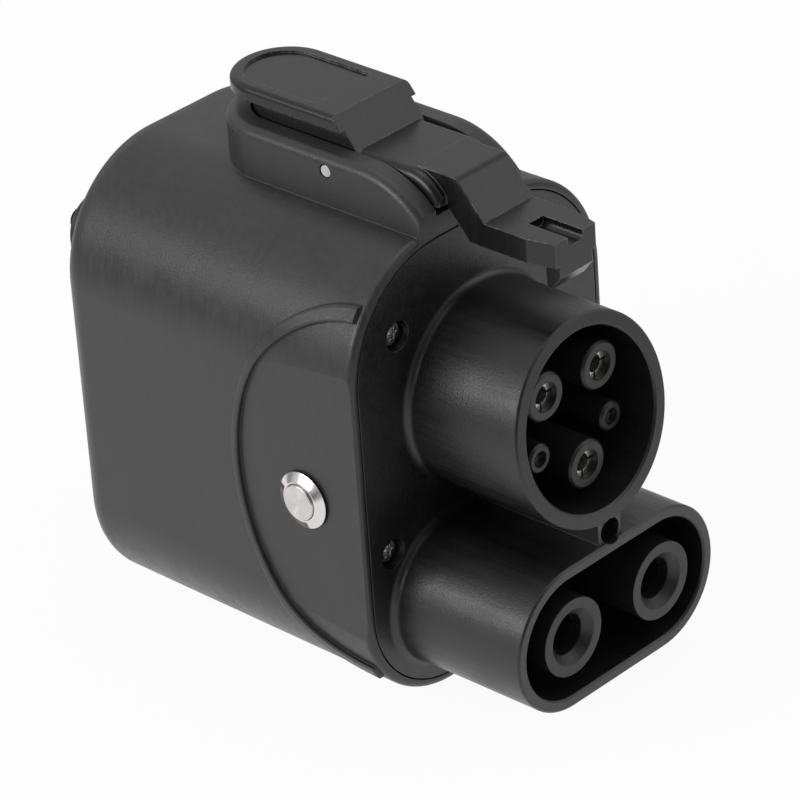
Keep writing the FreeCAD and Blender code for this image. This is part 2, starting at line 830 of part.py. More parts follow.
def make_front_plate():
    """Front plate moulded in one with the round barrel, the long barrel and the web between."""
    body = new_body("front_plate")
    outline = front_sketch(body, "plate_outline", front_y)
    case_outline(outline, case_half, size.lip_width + size.plate_gap)
    pad(body, "plate", outline, size.plate_thick, reverse=True)
    bosses = front_sketch(body, "retainer_boss_outlines", plate_back_y)
    for side in (-1, 1):
        circle(bosses, side * size.retainer_half, size.retainer_height, size.retainer_ear - 0.6)
    pad(body, "retainer_bosses", bosses, size.block_flange_thick, reverse=True)

    long_barrel = front_sketch(body, "long_barrel_outline", front_y)
    dc_outline(long_barrel, size.dc_outer_radius)
    pad(body, "long_barrel", long_barrel, size.dc_reach)
    fillet(body, "long_barrel_foot", size.barrel_foot_round, is_long_barrel_foot)
    long_hollow = front_sketch(body, "long_hollow_outline", dc_rim_y)
    dc_outline(long_hollow, dc_inner_radius)
    pocket(body, "long_hollow", long_hollow, size.dc_reach + size.plate_thick)
    chamfer(body, "long_rim", size.rim_bevel, lambda e: lies_at(e, "Y", dc_rim_y))

    barrel = front_sketch(body, "round_barrel_outline", front_y)
    circle(barrel, 0, size.ac_axis_height, size.ac_outer_radius)
    slope = tangent(size.rim_slant)
    pad(body, "round_barrel", barrel, size.ac_reach + size.ac_outer_radius * slope + 1)
    slant = side_sketch(body, "rim_slant_outline")
    far = size.ac_outer_radius + size.overcut
    ahead = ac_rim_y - far
    polygon(slant, [
        (ahead, size.ac_axis_height - far),
        (ac_rim_y - far * slope, size.ac_axis_height - far),
        (ac_rim_y + far * slope, size.ac_axis_height + far),
        (ahead, size.ac_axis_height + far),
    ])
    pocket(body, "rim_slant", slant, far * 2, both=True)
    add_round_foot(body)
    hollow = front_sketch(body, "round_hollow_outline", ac_rim_y - far)
    circle(hollow, 0, size.ac_axis_height, ac_inner_radius)
    pocket(body, "round_hollow", hollow, size.ac_reach + far + size.plate_thick + 1)
    chamfer(body, "round_rim", size.rim_bevel,
            lambda e: e.BoundBox.YMax < ac_rim_y.number + 5 and e.BoundBox.XLength > 5
            and e.BoundBox.YLength > 1)

    web = front_sketch(body, "web_outline", dc_rim_y + size.web_setback)
    half = size.web_width / 2
    box(web, -half, dc_top - 1, half, ac_bottom + 1)
    pad(body, "web", web, size.dc_reach - size.web_setback, reverse=True)
    through = front_sketch(body, "web_screw_hole", dc_rim_y)
    circle(through, 0, web_height, size.screw_radius + size.screw_play)
    pocket(body, "web_screw_way", through, size.dc_reach + size.plate_thick + 1)
    bore = front_sketch(body, "web_bore_outline", dc_rim_y)
    circle(bore, 0, web_height, size.web_bore_radius)
    pocket(body, "web_bore", bore, size.web_bore_depth + size.screw_head_height)

    sinks = front_sketch(body, "screw_sink_outlines", front_y)
    for across, up in plate_screws:
        circle(sinks, across, up, size.screw_head_radius + size.sink_play)
    pocket(body, "screw_sinks", sinks, size.screw_sink + size.screw_head_height)
    holes = front_sketch(body, "screw_hole_outlines", front_y)
    for across, up in plate_screws:
        circle(holes, across, up, size.screw_radius + size.screw_play)
    pocket(body, "screw_holes", holes, size.plate_thick + 1)
    threads = front_sketch(body, "retainer_thread_outlines", block_back_y)
    for side in (-1, 1):
        circle(threads, side * size.retainer_half, size.retainer_height, size.screw_radius)
    pocket(body, "retainer_threads", threads, size.block_flange_thick + 1, reverse=True)


def dc_outline(item, radius):
    """Long outline with round ends, about the axis of the lower barrel."""
    belt(item, [
        (-size.dc_arc_half, size.dc_axis_height, radius),
        (size.dc_arc_half, size.dc_axis_height, radius),
    ])


def add_round_foot(body):
    """Hollow round between the plate and the round barrel, turned about the barrel's axis."""
    foot = side_sketch(body, "round_foot_outline")
    radius = size.barrel_foot_round
    centre = (front_y - radius, size.ac_axis_height + size.ac_outer_radius + radius)
    inward = size.ac_axis_height + size.ac_outer_radius - size.ac_wall / 2
    behind = front_y + size.plate_thick / 2
    corner = Part.Circle(point(*centre), Vector(0, 0, 1), radius.number)
    foot.addGeometry(Part.ArcOfCircle(corner, -math.pi / 2, 0), False)
    corners = [(front_y, centre[1]), (behind, centre[1]), (behind, inward), (centre[0], inward),
               (centre[0], centre[1] - radius)]
    for first, second in zip(corners, corners[1:]):
        foot.addGeometry(Part.LineSegment(point(*first), point(*second)), False)
    for index in range(5):
        join(foot, index, 2, (index + 1) % 5, 1)
    pin(foot, 0, 3, *centre)
    for index, place in enumerate(corners[:4]):
        pin(foot, index + 1, 1, *place)
    foot.addConstraint(Sketcher.Constraint("Vertical", 4))
    axis = foot.addGeometry(
        Part.LineSegment(point(centre[0], size.ac_axis_height),
                         point(behind, size.ac_axis_height)), True)
    pin(foot, axis, 1, centre[0], size.ac_axis_height)
    pin(foot, axis, 2, behind, size.ac_axis_height)
    ring = body.newObject("PartDesign::Revolution", "round_barrel_foot")
    ring.Profile = foot
    ring.ReferenceAxis = (foot, ["Axis0"])
    ring.Angle = 360
    body.Tip = ring


def is_long_barrel_foot(edge):
    bounds = edge.BoundBox
    axis = size.dc_axis_height
    within = near(bounds.ZMin, axis - size.dc_outer_radius, 0.1) or bounds.ZMin > axis.number
    return lies_at(edge, "Y", front_y) and within and bounds.ZMax < dc_top.number + 0.1


def make_retainer():
    """Plate behind the socket blocks that clamps them and the collars of their contacts."""
    body = new_body("block_retainer")
    outline = front_sketch(body, "retainer_outline", block_back_y)
    belt(outline, [
        (-size.dc_arc_half, size.dc_axis_height, size.dc_arc_half),
        (size.dc_arc_half, size.dc_axis_height, size.dc_arc_half),
        (size.retainer_half, size.retainer_height, size.retainer_ear),
        (0, size.ac_axis_height, size.retainer_top),
        (-size.retainer_half, size.retainer_height, size.retainer_ear),
    ])
    pad(body, "retainer", outline, size.retainer_thick, reverse=True)
    holes = front_sketch(body, "retainer_hole_outlines", block_back_y)
    for across, up, tail in contact_tails:
        circle(holes, across, up, tail + size.tail_play)
    for side in (-1, 1):
        circle(holes, side * size.dc_contact_half, size.dc_axis_height,
               size.dc_rod_radius + size.tail_play)
        circle(holes, side * size.retainer_half, size.retainer_height,
               size.screw_radius + size.screw_play)
    circle(holes, 0, web_height, size.screw_radius)
    pocket(body, "retainer_holes", holes, size.retainer_thick)
    notches = front_sketch(body, "retainer_notch_outlines", block_back_y)
    for side in (-1, 1):
        circle(notches, side * size.screw_lower_half, size.screw_lower_height,
               size.post_radius + size.tail_play)
    pocket(body, "retainer_notches", notches, size.retainer_thick)


def make_ac_block():
    """Insulating block of the upper outlet, with five towers round its contacts."""
    body = new_body("ac_socket_block")
    flange = front_sketch(body, "flange_outline", plate_back_y)
    circle(flange, 0, size.ac_axis_height, ac_inner_radius - size.block_play + size.block_flange)
    pad(body, "flange", flange, size.block_flange_thick, reverse=True)
    core = front_sketch(body, "core_outline", plate_back_y)
    circle(core, 0, size.ac_axis_height, ac_inner_radius - size.block_play)
    pad(body, "core", core, plate_back_y - ac_floor_y)
    for index, (across, up, face, radius, bore) in enumerate(ac_towers, start=1):
        tower = front_sketch(body, f"tower_outline_{index}", ac_floor_y)
        circle(tower, across, up, radius)
        pad(body, f"tower_{index}", tower, ac_floor_y - face)
        chamfer(body, f"tower_rim_{index}", 0.5, on_face(face, radius, across))
    for index, (across, up, face, radius, bore) in enumerate(ac_towers, start=1):
        hole = front_sketch(body, f"tower_bore_outline_{index}", face)
        circle(hole, across, up, bore + size.sleeve_play)
        pocket(body, f"tower_bore_{index}", hole, block_back_y - face)
        seat = front_sketch(body, f"collar_seat_outline_{index}", block_back_y)
        circle(seat, across, up, bore + size.collar_lip + size.sleeve_play)
        pocket(body, f"collar_seat_{index}", seat, size.collar_thick, reverse=True)


def on_face(face, radius, across):
    """Test for the round edge of this radius in the plane of a tower's face."""
    def chosen(edge):
        wide = near(edge.BoundBox.XLength, radius * 2, 0.05)
        middle = edge.BoundBox.Center.x
        return lies_at(edge, "Y", face) and wide and near(middle, across, 0.1)
    return chosen


def make_dc_block():
    """Insulating block of the lower outlet, with two towers whose mouths keep fingers out."""
    body = new_body("dc_socket_block")
    flange = front_sketch(body, "flange_outline", plate_back_y)
    dc_outline(flange, dc_inner_radius - size.block_play + size.block_flange)
    pad(body, "flange", flange, size.block_flange_thick, reverse=True)
    core = front_sketch(body, "core_outline", plate_back_y)
    dc_outline(core, dc_inner_radius - size.block_play)
    pad(body, "core", core, plate_back_y - dc_floor_y)
    towers = front_sketch(body, "tower_outlines", dc_floor_y)
    for side in (-1, 1):
        circle(towers, side * size.dc_contact_half, size.dc_axis_height, size.dc_tower_radius)
    pad(body, "towers", towers, size.dc_floor_depth)
    guards = front_sketch(body, "guard_outlines", dc_rim_y)
    for side in (-1, 1):
        circle(guards, side * size.dc_contact_half, size.dc_axis_height, size.dc_guard_radius)
    pocket(body, "guard_holes", guards, size.dc_sleeve_sink + 1)
    chamfer(body, "mouths", size.dc_mouth_widening,
            lambda e: lies_at(e, "Y", dc_rim_y)
            and near(e.BoundBox.XLength, size.dc_guard_radius * 2, 0.05))
    bores = front_sketch(body, "sleeve_bore_outlines", dc_rim_y + size.dc_sleeve_sink)
    for side in (-1, 1):
        circle(bores, side * size.dc_contact_half, size.dc_axis_height,
               size.dc_sleeve_radius + size.sleeve_play)
    pocket(body, "sleeve_bores", bores, block_back_y - dc_rim_y)
    seats = front_sketch(body, "collar_seat_outlines", block_back_y)
    for side in (-1, 1):
        circle(seats, side * size.dc_contact_half, size.dc_axis_height,
               size.dc_sleeve_radius + size.collar_lip + size.sleeve_play)
    pocket(body, "collar_seats", seats, size.collar_thick, reverse=True)


def make_inlet_shell():
    """Round inlet: a deep well behind a flange that screws to the rear of the case."""
    body = new_body("inlet_shell")
    across = size.inlet_flange_half - size.inlet_flange_corner
    up = size.inlet_flange_rise - size.inlet_flange_corner
    corner = size.inlet_flange_corner
    flange = front_sketch(body, "flange_outline", inlet_face_y)
    belt(flange, [
        (-across, size.inlet_height - up, corner),
        (across, size.inlet_height - up, corner),
        (across, size.inlet_height + up, corner),
        (-across, size.inlet_height + up, corner),
    ])
    pad(body, "flange", flange, size.inlet_flange_thick)
    chamfer(body, "flange_bevel", 0.8, lambda e: lies_at(e, "Y", inlet_face_y))
    mouth_y = inlet_face_y + size.inlet_collar
    well = front_sketch(body, "well_outline", mouth_y)
    circle(well, 0, size.inlet_height, size.inlet_well_radius)
    pad(body, "well", well, mouth_y - inlet_back_y)
    hollow = front_sketch(body, "hollow_outline", mouth_y)
    circle(hollow, 0, size.inlet_height, inlet_inner_radius)
    pocket(body, "hollow", hollow, mouth_y - inlet_floor_y, reverse=True)
    chamfer(body, "mouth_bevel", 0.8, lambda e: lies_at(e, "Y", mouth_y))
    holes = front_sketch(body, "screw_hole_outlines", inlet_face_y)
    for x, z in inlet_screws:
        circle(holes, x, z, size.screw_radius + size.screw_play)
    pocket(body, "screw_holes", holes, size.inlet_flange_thick, reverse=True)
    tails = front_sketch(body, "tail_hole_outlines", inlet_floor_y)
    for x, z, front, tail in inlet_pins.values():
        circle(tails, x, z, tail)
    pocket(body, "tail_holes", tails, size.inlet_floor, reverse=True)


def make_bar(name, across, low, high, half, low_bore, high_bore):
    """Flat copper link with a round eye at each end."""
    body = new_body(name)
    outline = front_sketch(body, name + "_outline", bar_front_y)
    belt(outline, [(across, low, half), (across, high, half)])
    pad(body, name + "_link", outline, size.bar_thick, reverse=True)
    for eye, (height, bore, face) in enumerate(
            ((low, low_bore, bar_back_y), (high, high_bore, bar_front_y)), start=1):
        hole = front_sketch(body, f"{name}_eye_outline_{eye}", bar_front_y)
        circle(hole, across, height, bore)
        pocket(body, f"{name}_eye_{eye}", hole, size.bar_thick)
    return body


def sink_eyes(body, across, low, high):
    """Countersinks for flush screws: the lower from behind, the upper from the front."""
    for number, (height, face) in enumerate(((low, bar_back_y), (high, bar_front_y)), start=1):
        chamfer(body, f"{body.Label}_sink_{number}", size.bar_head_radius - size.bar_screw_radius,
                eye_edge(across, height, face))


def eye_edge(across, height, face):
    """Test for the edge of a bar's eye in one of its faces."""
    def chosen(edge):
        bounds = edge.BoundBox
        hole = (size.bar_screw_radius + size.bar_screw_play) * 2
        centred = near(bounds.Center.x, across, 0.1) and near(bounds.Center.z, height, 0.1)
        return lies_at(edge, "Y", face) and centred and near(bounds.XLength, hole, 0.05)
    return chosen


def make_lever():
    """Latch lever: thumb pad, ramp, saddle on the pin, bump, arm and hook in one moulding."""
    body = new_body("latch_lever")
    half = size.channel_half - size.lever_play
    lowest = size.pivot_height - size.pivot_radius - 1.9
    pad_under = size.pad_top - size.pad_thick
    back = size.pad_front - size.ramp_depth
    saddle = side_sketch(body, "saddle_profile")
    polygon(saddle, [
        (-size.saddle_end, size.saddle_under),
        (-size.pivot_setback - 5, size.saddle_under),
        (-size.pivot_setback - 3, lowest),
        (-size.pivot_setback + 3, lowest),
        (-size.pivot_setback + 6, size.saddle_under + 1.7),
        (-back, pad_under),
        (-back, size.pad_top),
        (-size.pad_front, size.pad_top),
        (-size.ramp_foot, size.ramp_foot_height),
        (-size.saddle_end, size.ramp_foot_height),
    ])
    pad(body, "saddle", saddle, half * 2, both=True)
    roll_down(body, "saddle_front", -size.saddle_roll_start, size.saddle_roll,
              size.ramp_foot_height, -size.saddle_end, half + size.overcut)
    fillet(body, "saddle_round", size.saddle_round, is_saddle_side)
    arm = side_sketch(body, "arm_profile")
    polygon(arm, [
        (-size.arm_end, size.arm_under),
        (-size.arm_heel, size.arm_under),
        (-size.arm_rise, size.saddle_under),
        (-size.bump_back, size.saddle_under),
        (-size.bump_back, size.bump_top),
        (-size.bump_crest, size.bump_top),
        (-size.bump_foot, size.arm_top),
        (-size.arm_end, size.arm_top),
    ])
    pad(body, "arm", arm, size.bump_half * 2, both=True)
    fillet(body, "crest_round", size.crest_round, is_crest)
    lean = (size.ramp_foot - size.pad_front) * size.pad_thick / (size.pad_top
                                                               - size.ramp_foot_height)
    brow = side_sketch(body, "pad_brow_profile")
    polygon(brow, [
        (-size.pad_front - lean, pad_under),
        (-back, pad_under),
        (-back, size.pad_top),
        (-size.pad_front, size.pad_top),
    ])
    pad(body, "pad_brow", brow, size.pad_half * 2, both=True)
    thumb = top_sketch(body, "pad_outline", pad_under)
    arch(thumb, size.pad_half, -size.pad_front, size.pad_rear_centre)
    pad(body, "thumb_pad", thumb, size.pad_thick)
    fillet(body, "pad_edge", size.pad_round, is_pad_edge)
    tile = top_sketch(body, "recess_outline", size.pad_top)
    arch(tile, size.pad_half - size.recess_inset, -size.recess_front, size.pad_rear_centre)
    pocket(body, "pad_recess", tile, size.recess_depth)
    skirt = top_sketch(body, "skirt_outline", pad_under)
    arch(skirt, half, -back - size.overcut, size.skirt_rear_centre)
    pad(body, "skirt", skirt, pad_under - size.skirt_bottom, reverse=True)
    hollow = top_sketch(body, "skirt_hollow_outline", pad_under)
    arch(hollow, half - size.skirt_wall, -back, size.skirt_rear_centre)
    pocket(body, "skirt_hollow", hollow, pad_under - size.skirt_bottom)
    hook = side_sketch(body, "hook_profile")
    polygon(hook, [
        (-size.arm_end, size.arm_under + 1),
        (-size.arm_end, size.hook_tip + size.hook_slant),
        (-size.arm_end + size.hook_slant * 0.8, size.hook_tip),
        (-size.hook_back, size.hook_tip),
        (-size.hook_back, size.arm_under + 1),
    ])
    pad(body, "hook", hook, size.hook_half * 2, both=True)
    taper = top_sketch(body, "taper_outline", size.arm_top + 1)
    for side in (-1, 1):
        polygon(taper, [
            (side * size.bump_half, -size.taper_start),
            (side * (size.bump_half + 1), -size.taper_start),
            (side * (size.bump_half + 1), -size.arm_end - 1),
            (side * size.end_half, -size.arm_end - 1),
            (side * size.end_half, -size.arm_end),
        ])
    pocket(body, "arm_taper", taper, size.arm_top - size.arm_under + 2)
    groove = top_sketch(body, "groove_outline", size.arm_top)
    box(groove, -size.groove_half, -size.arm_end - 1, size.groove_half, -size.groove_back)
    pocket(body, "arm_groove", groove, size.groove_depth)
    fillet(body, "groove_round", size.groove_round,
           lambda e: lies_at(e, "Z", size.arm_top - size.groove_depth)
           and near(abs(e.BoundBox.XMin), size.groove_half) and lies_at(e, "X", e.BoundBox.XMin))
    nubs = top_sketch(body, "spring_spigot_outline", pad_under)
    circle(nubs, 0, size.spring_setback, size.spigot_radius)
    pad(body, "spring_spigot", nubs, size.spigot_height, reverse=True)
    presser = top_sketch(body, "switch_presser_outline", pad_under)
    circle(presser, 0, -size.switch_centre, size.plunger_radius + 0.6)
    pad(body, "switch_presser", presser,
        pad_under - size.channel_floor - size.switch_body - size.plunger_height
        - size.plunger_gap, reverse=True)
    bore = side_sketch(body, "lever_bore_outline")
    circle(bore, -size.pivot_setback, size.pivot_height, size.pivot_radius + size.pivot_play)
    pocket(body, "lever_bore", bore, half * 2 + 2, both=True)


def is_saddle_side(edge):
    """Side edges of the saddle's top, level and rolled alike."""
    bounds = edge.BoundBox
    beside = near(abs(bounds.XMin), size.channel_half - size.lever_play) and bounds.XLength < 0.01
    ahead = bounds.YMax < -size.ramp_foot.number + 0.01
    return beside and ahead and bounds.ZMin > size.saddle_under.number + 0.5


def is_crest(edge):
    """Edge across the bump where its top turns down to the front."""
    return lies_at(edge, "Y", -size.bump_crest) and lies_at(edge, "Z", size.bump_top)


def is_pad_edge(edge):
    """Top edges of the thumb pad, but not its front edge above the ramp."""
    level = lies_at(edge, "Z", size.pad_top)
    return level and not lies_at(edge, "Y", -size.pad_front) and edge.BoundBox.YLength > 1


# Shorthand for the turned, flat and bought-in pieces

TURNS = {
    "X": FreeCAD.Rotation(Vector(0, 1, 0), 90),
    "Y": FreeCAD.Rotation(Vector(1, 0, 0), -90),
    "Z": FreeCAD.Rotation(),
}


def primitive(kind, name, at, along="Z", **sizes):
    """A simple solid that starts at a point and runs along one axis."""
    item = doc.addObject(f"Part::{kind}", name)
    item.Placement = FreeCAD.Placement(Vector(0, 0, 0), TURNS[along])
    for axis, value in zip("xyz", at):
        bind(item, f"Placement.Base.{axis}", value)
    for prop, value in sizes.items():
        bind(item, prop, value)
    return item


def rod(name, at, radius, length, along="Y"):
    return primitive("Cylinder", name, at, along, Radius=radius, Height=length)


def cone(name, at, first, last, length, along="Y"):
    return primitive("Cone", name, at, along, Radius1=first, Radius2=last, Height=length)


def brick(name, low, high):
    spans = [as_size(b) - as_size(a) for a, b in zip(low, high)]
    return primitive("Box", name, low, Length=spans[0], Width=spans[1], Height=spans[2])


def hexagon(name, at, half, length, along="Y"):
    item = primitive("Prism", name, at, along,
                     Circumradius=half * (1 / math.cos(math.pi / 6)), Height=length)
    item.Polygon = 6
    return item


def fuse(name, parts):
    item = doc.addObject("Part::MultiFuse", name)
    item.Shapes = parts
    item.Refine = True
    return item


def cut(name, base, tools):
    """Subtract one or more solids from another."""
    item = doc.addObject("Part::Cut", name)
    item.Base = base
    item.Tool = tools[0] if len(tools) == 1 else fuse(name + "_tools", tools)
    item.Refine = True
    return item


def finish(name, item):
    """Give the last step of a piece the name of the piece."""
    item.Label = name
    nodes[name] = item
    return item


def screw(name, across, seat, height, length, inward):
    """Cap screw along Y; its head sits on the seat and its shank runs inward."""
    head_start = seat - size.screw_head_height if inward > 0 else seat
    shank_start = seat if inward > 0 else seat - length
    socket_depth = size.screw_head_height * 0.6
    socket_start = head_start if inward > 0 else seat + size.screw_head_height - socket_depth
    head = rod(name + "_head", (across, head_start, height),
               size.screw_head_radius, size.screw_head_height)
    shank = rod(name + "_shank", (across, shank_start, height), size.screw_radius, length)
    socket = hexagon(name + "_socket", (across, socket_start, height),
                     size.screw_head_radius * 0.5, socket_depth)
    finish(name, cut(name + "_body", fuse(name + "_blank", [head, shank]), [socket]))


def flush_screw(name, across, face, height, inward):
    """Countersunk screw along Y whose flat head lies in the face of a bar."""
    sink = size.bar_head_radius - size.bar_screw_radius
    if inward > 0:
        head = cone(name + "_head", (across, face, height),
                    size.bar_head_radius, size.bar_screw_radius, sink)
        shank_start = face
    else:
        head = cone(name + "_head", (across, face - sink, height),
                    size.bar_screw_radius, size.bar_head_radius, sink)
        shank_start = face - size.bar_screw_length
    shank = rod(name + "_shank", (across, shank_start, height),
                size.bar_screw_radius, size.bar_screw_length)
    finish(name, fuse(name + "_body", [head, shank]))


def contact(name, across, up, face, sleeve, bore, tail, tail_end, bore_depth, collar):
    """Turned socket contact: slotted sleeve in front, collar, and a rod behind."""
    collar_start = block_back_y - size.collar_thick
    parts = [
        rod(name + "_sleeve", (across, face, up), sleeve, collar_start - face),
        rod(name + "_collar", (across, collar_start, up), collar, size.collar_thick),
        rod(name + "_tail", (across, block_back_y, up), tail, tail_end - block_back_y),
    ]
    slot = size.sleeve_slot / 2
    slot_end = face + bore_depth * 0.6
    tools = [
        rod(name + "_bore", (across, face, up), bore, bore_depth),
        brick(name + "_slot_flat", (across - sleeve, face, up - slot),
              (across + sleeve, slot_end, up + slot)),
        brick(name + "_slot_upright", (across - slot, face, up - sleeve),
              (across + slot, slot_end, up + sleeve)),
    ]
    return parts, tools


def make_contacts():
    """Five contacts of the upper outlet and two heavy ones of the lower outlet."""
    for name, (across, up, face, sleeve, bore, tail, tail_end) in ac_contacts.items():
        parts, tools = contact(name, across, up, face + size.sleeve_sink, sleeve, bore, tail,
                               tail_end, size.sleeve_bore_depth, sleeve + size.collar_lip)
        finish(name, cut(name + "_body", fuse(name + "_blank", parts), tools))
    for name, side in (("dc_contact_positive", 1), ("dc_contact_negative", -1)):
        across = side * size.dc_contact_half
        face = dc_rim_y + size.dc_sleeve_sink
        parts, tools = contact(name, across, size.dc_axis_height, face, size.dc_sleeve_radius,
                               size.dc_bore_radius, size.dc_rod_radius, bar_front_y,
                               size.dc_bore_depth, size.dc_sleeve_radius + size.collar_lip)
        thread = size.bar_screw_length - size.bar_thick
        tools.append(rod(name + "_thread", (across, bar_front_y - thread, size.dc_axis_height),
                         size.bar_screw_radius, thread))
        finish(name, cut(name + "_body", fuse(name + "_blank", parts), tools))


def make_inlet_pins():
    """Contact pins of the inlet, each with a collar that the pin carrier traps."""
    tip_y = inlet_floor_y + size.inlet_pin_reach
    for name, (across, up, front, tail) in inlet_pins.items():
        point_length = front * 0.4
        parts = [
            rod(name + "_front", (across, inlet_floor_y, up), front,
                size.inlet_pin_reach - point_length),
            cone(name + "_point", (across, tip_y - point_length, up), front, front * 0.6,
                 point_length),
            rod(name + "_collar", (across, inlet_floor_y, up), front + size.collar_lip,
                size.collar_thick),
            rod(name + "_tail", (across, inlet_back_y, up), tail, size.inlet_floor),
        ]
        item = fuse(name + "_body", parts)
        if "dc" in name:
            thread = size.bar_screw_length - size.bar_thick
            item = cut(name + "_tapped", item, [
                rod(name + "_thread", (across, inlet_back_y, up), size.bar_screw_radius, thread)])
        finish(name, item)


def make_inlet_carrier():
    """Insulating disc in the well that holds the inlet pins upright."""
    disc = rod("carrier_disc", (0, inlet_floor_y, size.inlet_height),
               inlet_inner_radius - size.block_play, size.carrier_thick)
    tools = []
    for name, (across, up, front, tail) in inlet_pins.items():
        tools.append(rod(name + "_way", (across, inlet_floor_y, up),
                         front + size.sleeve_play, size.carrier_thick))
        tools.append(rod(name + "_trap", (across, inlet_floor_y, up),
                         front + size.collar_lip + size.sleeve_play,
                         size.collar_thick))
    finish("inlet_pin_carrier", cut("carrier_body", disc, tools))


def make_seals():
    """Flat gaskets behind the front plate, under the inlet flange and under the bezel."""
    body = new_body("plate_seal")
    outer = front_sketch(body, "seal_outline", plate_back_y)
    case_outline(outer, case_half, size.lip_width + size.plate_gap)
    pad(body, "seal", outer, size.seal_thick, reverse=True)
    inner = front_sketch(body, "seal_inner_outline", plate_back_y)
    case_outline(inner, case_half, size.case_wall)
    pocket(body, "seal_window", inner, size.seal_thick)

    gasket = new_body("inlet_seal")
    edge = size.inlet_flange_corner
    across = size.inlet_flange_half - edge
    up = size.inlet_flange_rise - edge
    outline = front_sketch(gasket, "gasket_outline", rear_y)
    belt(outline, [
        (-across, size.inlet_height - up, edge - 0.5),
        (across, size.inlet_height - up, edge - 0.5),
        (across, size.inlet_height + up, edge - 0.5),
        (-across, size.inlet_height + up, edge - 0.5),
    ])
    pad(gasket, "gasket", outline, size.inlet_seal_thick, reverse=True)
    holes = front_sketch(gasket, "gasket_holes", rear_y)
    circle(holes, 0, size.inlet_height, size.inlet_well_radius + size.plate_gap)
    for x, z in inlet_screws:
        circle(holes, x, z, size.screw_radius + size.screw_play)
    pocket(gasket, "gasket_window", holes, size.inlet_seal_thick)

    ring_x = -panel_plane - size.button_seal_thick
    at = (ring_x, -size.button_back, size.button_height)
    ring = rod("button_ring", at, size.button_barrel_radius + 1, size.button_seal_thick, "X")
    bore = rod("button_ring_bore", at, size.button_barrel_radius, size.button_seal_thick, "X")
    finish("button_seal", cut("button_ring_body", ring, [bore]))


def make_button():
    """Threaded push button: bezel and barrel, sliding cap, nut and contact base."""
    y = -size.button_back
    z = size.button_height
    seat_x = -panel_plane - size.button_seal_thick
    face_x = seat_x - size.bezel_edge - size.bezel_bevel
    end_x = seat_x + size.button_barrel_length
    rest_x = face_x - size.cap_proud + size.cap_length
    stop_x = rest_x + size.cap_travel + size.cap_play * 2
    blank = fuse("button_blank", [
        cone("bezel_bevel_cone", (face_x, y, z), size.bezel_radius - size.bezel_bevel,
             size.bezel_radius, size.bezel_bevel, "X"),
        rod("bezel_rim", (seat_x - size.bezel_edge, y, z), size.bezel_radius,
            size.bezel_edge, "X"),
        rod("button_barrel", (seat_x, y, z), size.button_barrel_radius,
            size.button_barrel_length, "X"),
    ])
    tools = [
        rod("cap_bore", (face_x, y, z), size.cap_radius + size.cap_play, stop_x - face_x, "X"),
        rod("stem_bore", (face_x, y, z), size.cap_stem_radius + size.cap_play,
            end_x - face_x, "X"),
    ]
    finish("button_body", cut("button_body_cut", blank, tools))
    stem_end = end_x - size.cap_travel - size.cap_play * 3
    cap = fuse("cap_blank", [
        rod("cap_disc", (face_x - size.cap_proud, y, z), size.cap_radius, size.cap_length, "X"),
        rod("cap_stem", (rest_x, y, z), size.cap_stem_radius, stem_end - rest_x, "X"),
    ])
    finish("button_cap", cap)
    nut_x = -panel_plane + size.button_seat_thick
    nut = hexagon("nut_blank", (nut_x, y, z), size.button_nut_half, size.button_nut_thick, "X")
    bore = rod("nut_bore", (nut_x, y, z), size.button_barrel_radius, size.button_nut_thick, "X")
    finish("button_nut", cut("nut_body", nut, [bore]))
    lug = size.button_base_radius / 2
    base = fuse("switch_base_blank", [
        rod("switch_base", (end_x, y, z), size.button_base_radius, size.button_base_length, "X"),
        brick("switch_lug_upper",
              (end_x + size.button_base_length, y - 1, z + lug - 0.4),
              (end_x + size.button_base_length + size.button_terminal, y + 1, z + lug + 0.4)),
        brick("switch_lug_lower",
              (end_x + size.button_base_length, y - 1, z - lug - 0.4),
              (end_x + size.button_base_length + size.button_terminal, y + 1, z - lug + 0.4)),
    ])
    finish("button_switch_base", base)


def make_latch_parts():
    """Pin, coil spring and micro switch of the latch."""
    reach = size.hood_half - 0.2
    finish("latch_pin", rod("latch_pin_rod", (-reach, -size.pivot_setback, size.pivot_height),
                            size.pivot_radius, reach * 2, "X"))
    floor = size.channel_floor + size.spring_wire
    roof = size.pad_top - size.pad_thick - size.spring_wire
    helix = doc.addObject("Part::Helix", "spring_helix")
    bind(helix, "Radius", size.spring_radius)
    bind(helix, "Height", roof - floor)
    bind(helix, "Pitch", size.spring_pitch)
    bind(helix, "Placement.Base.y", size.spring_setback)
    bind(helix, "Placement.Base.z", floor)
    wire = doc.addObject("Part::RegularPolygon", "spring_wire_section")
    wire.Polygon = wire_sides
    bind(wire, "Circumradius", size.spring_wire)
    wire.Placement = FreeCAD.Placement(Vector(0, 0, 0), TURNS["Y"])
    bind(wire, "Placement.Base.x", size.spring_radius)
    bind(wire, "Placement.Base.y", size.spring_setback)
    bind(wire, "Placement.Base.z", floor)
    coil = doc.addObject("Part::Sweep", "spring_coil")
    coil.Sections = [wire]
    coil.Spine = (helix, ["Edge1"])
    coil.Solid = True
    coil.Frenet = True
    finish("latch_spring", coil)
    back = -size.switch_centre
    half = size.switch_width / 2
    top = size.channel_floor + size.switch_body
    body = brick("switch_case", (-half, back - size.switch_length / 2, size.channel_floor),
                 (half, back + size.switch_length / 2, top))
    plunger = rod("switch_plunger", (0, back, top), size.plunger_radius,
                  size.plunger_height, "Z")
    finish("latch_switch", fuse("latch_switch_body", [body, plunger]))


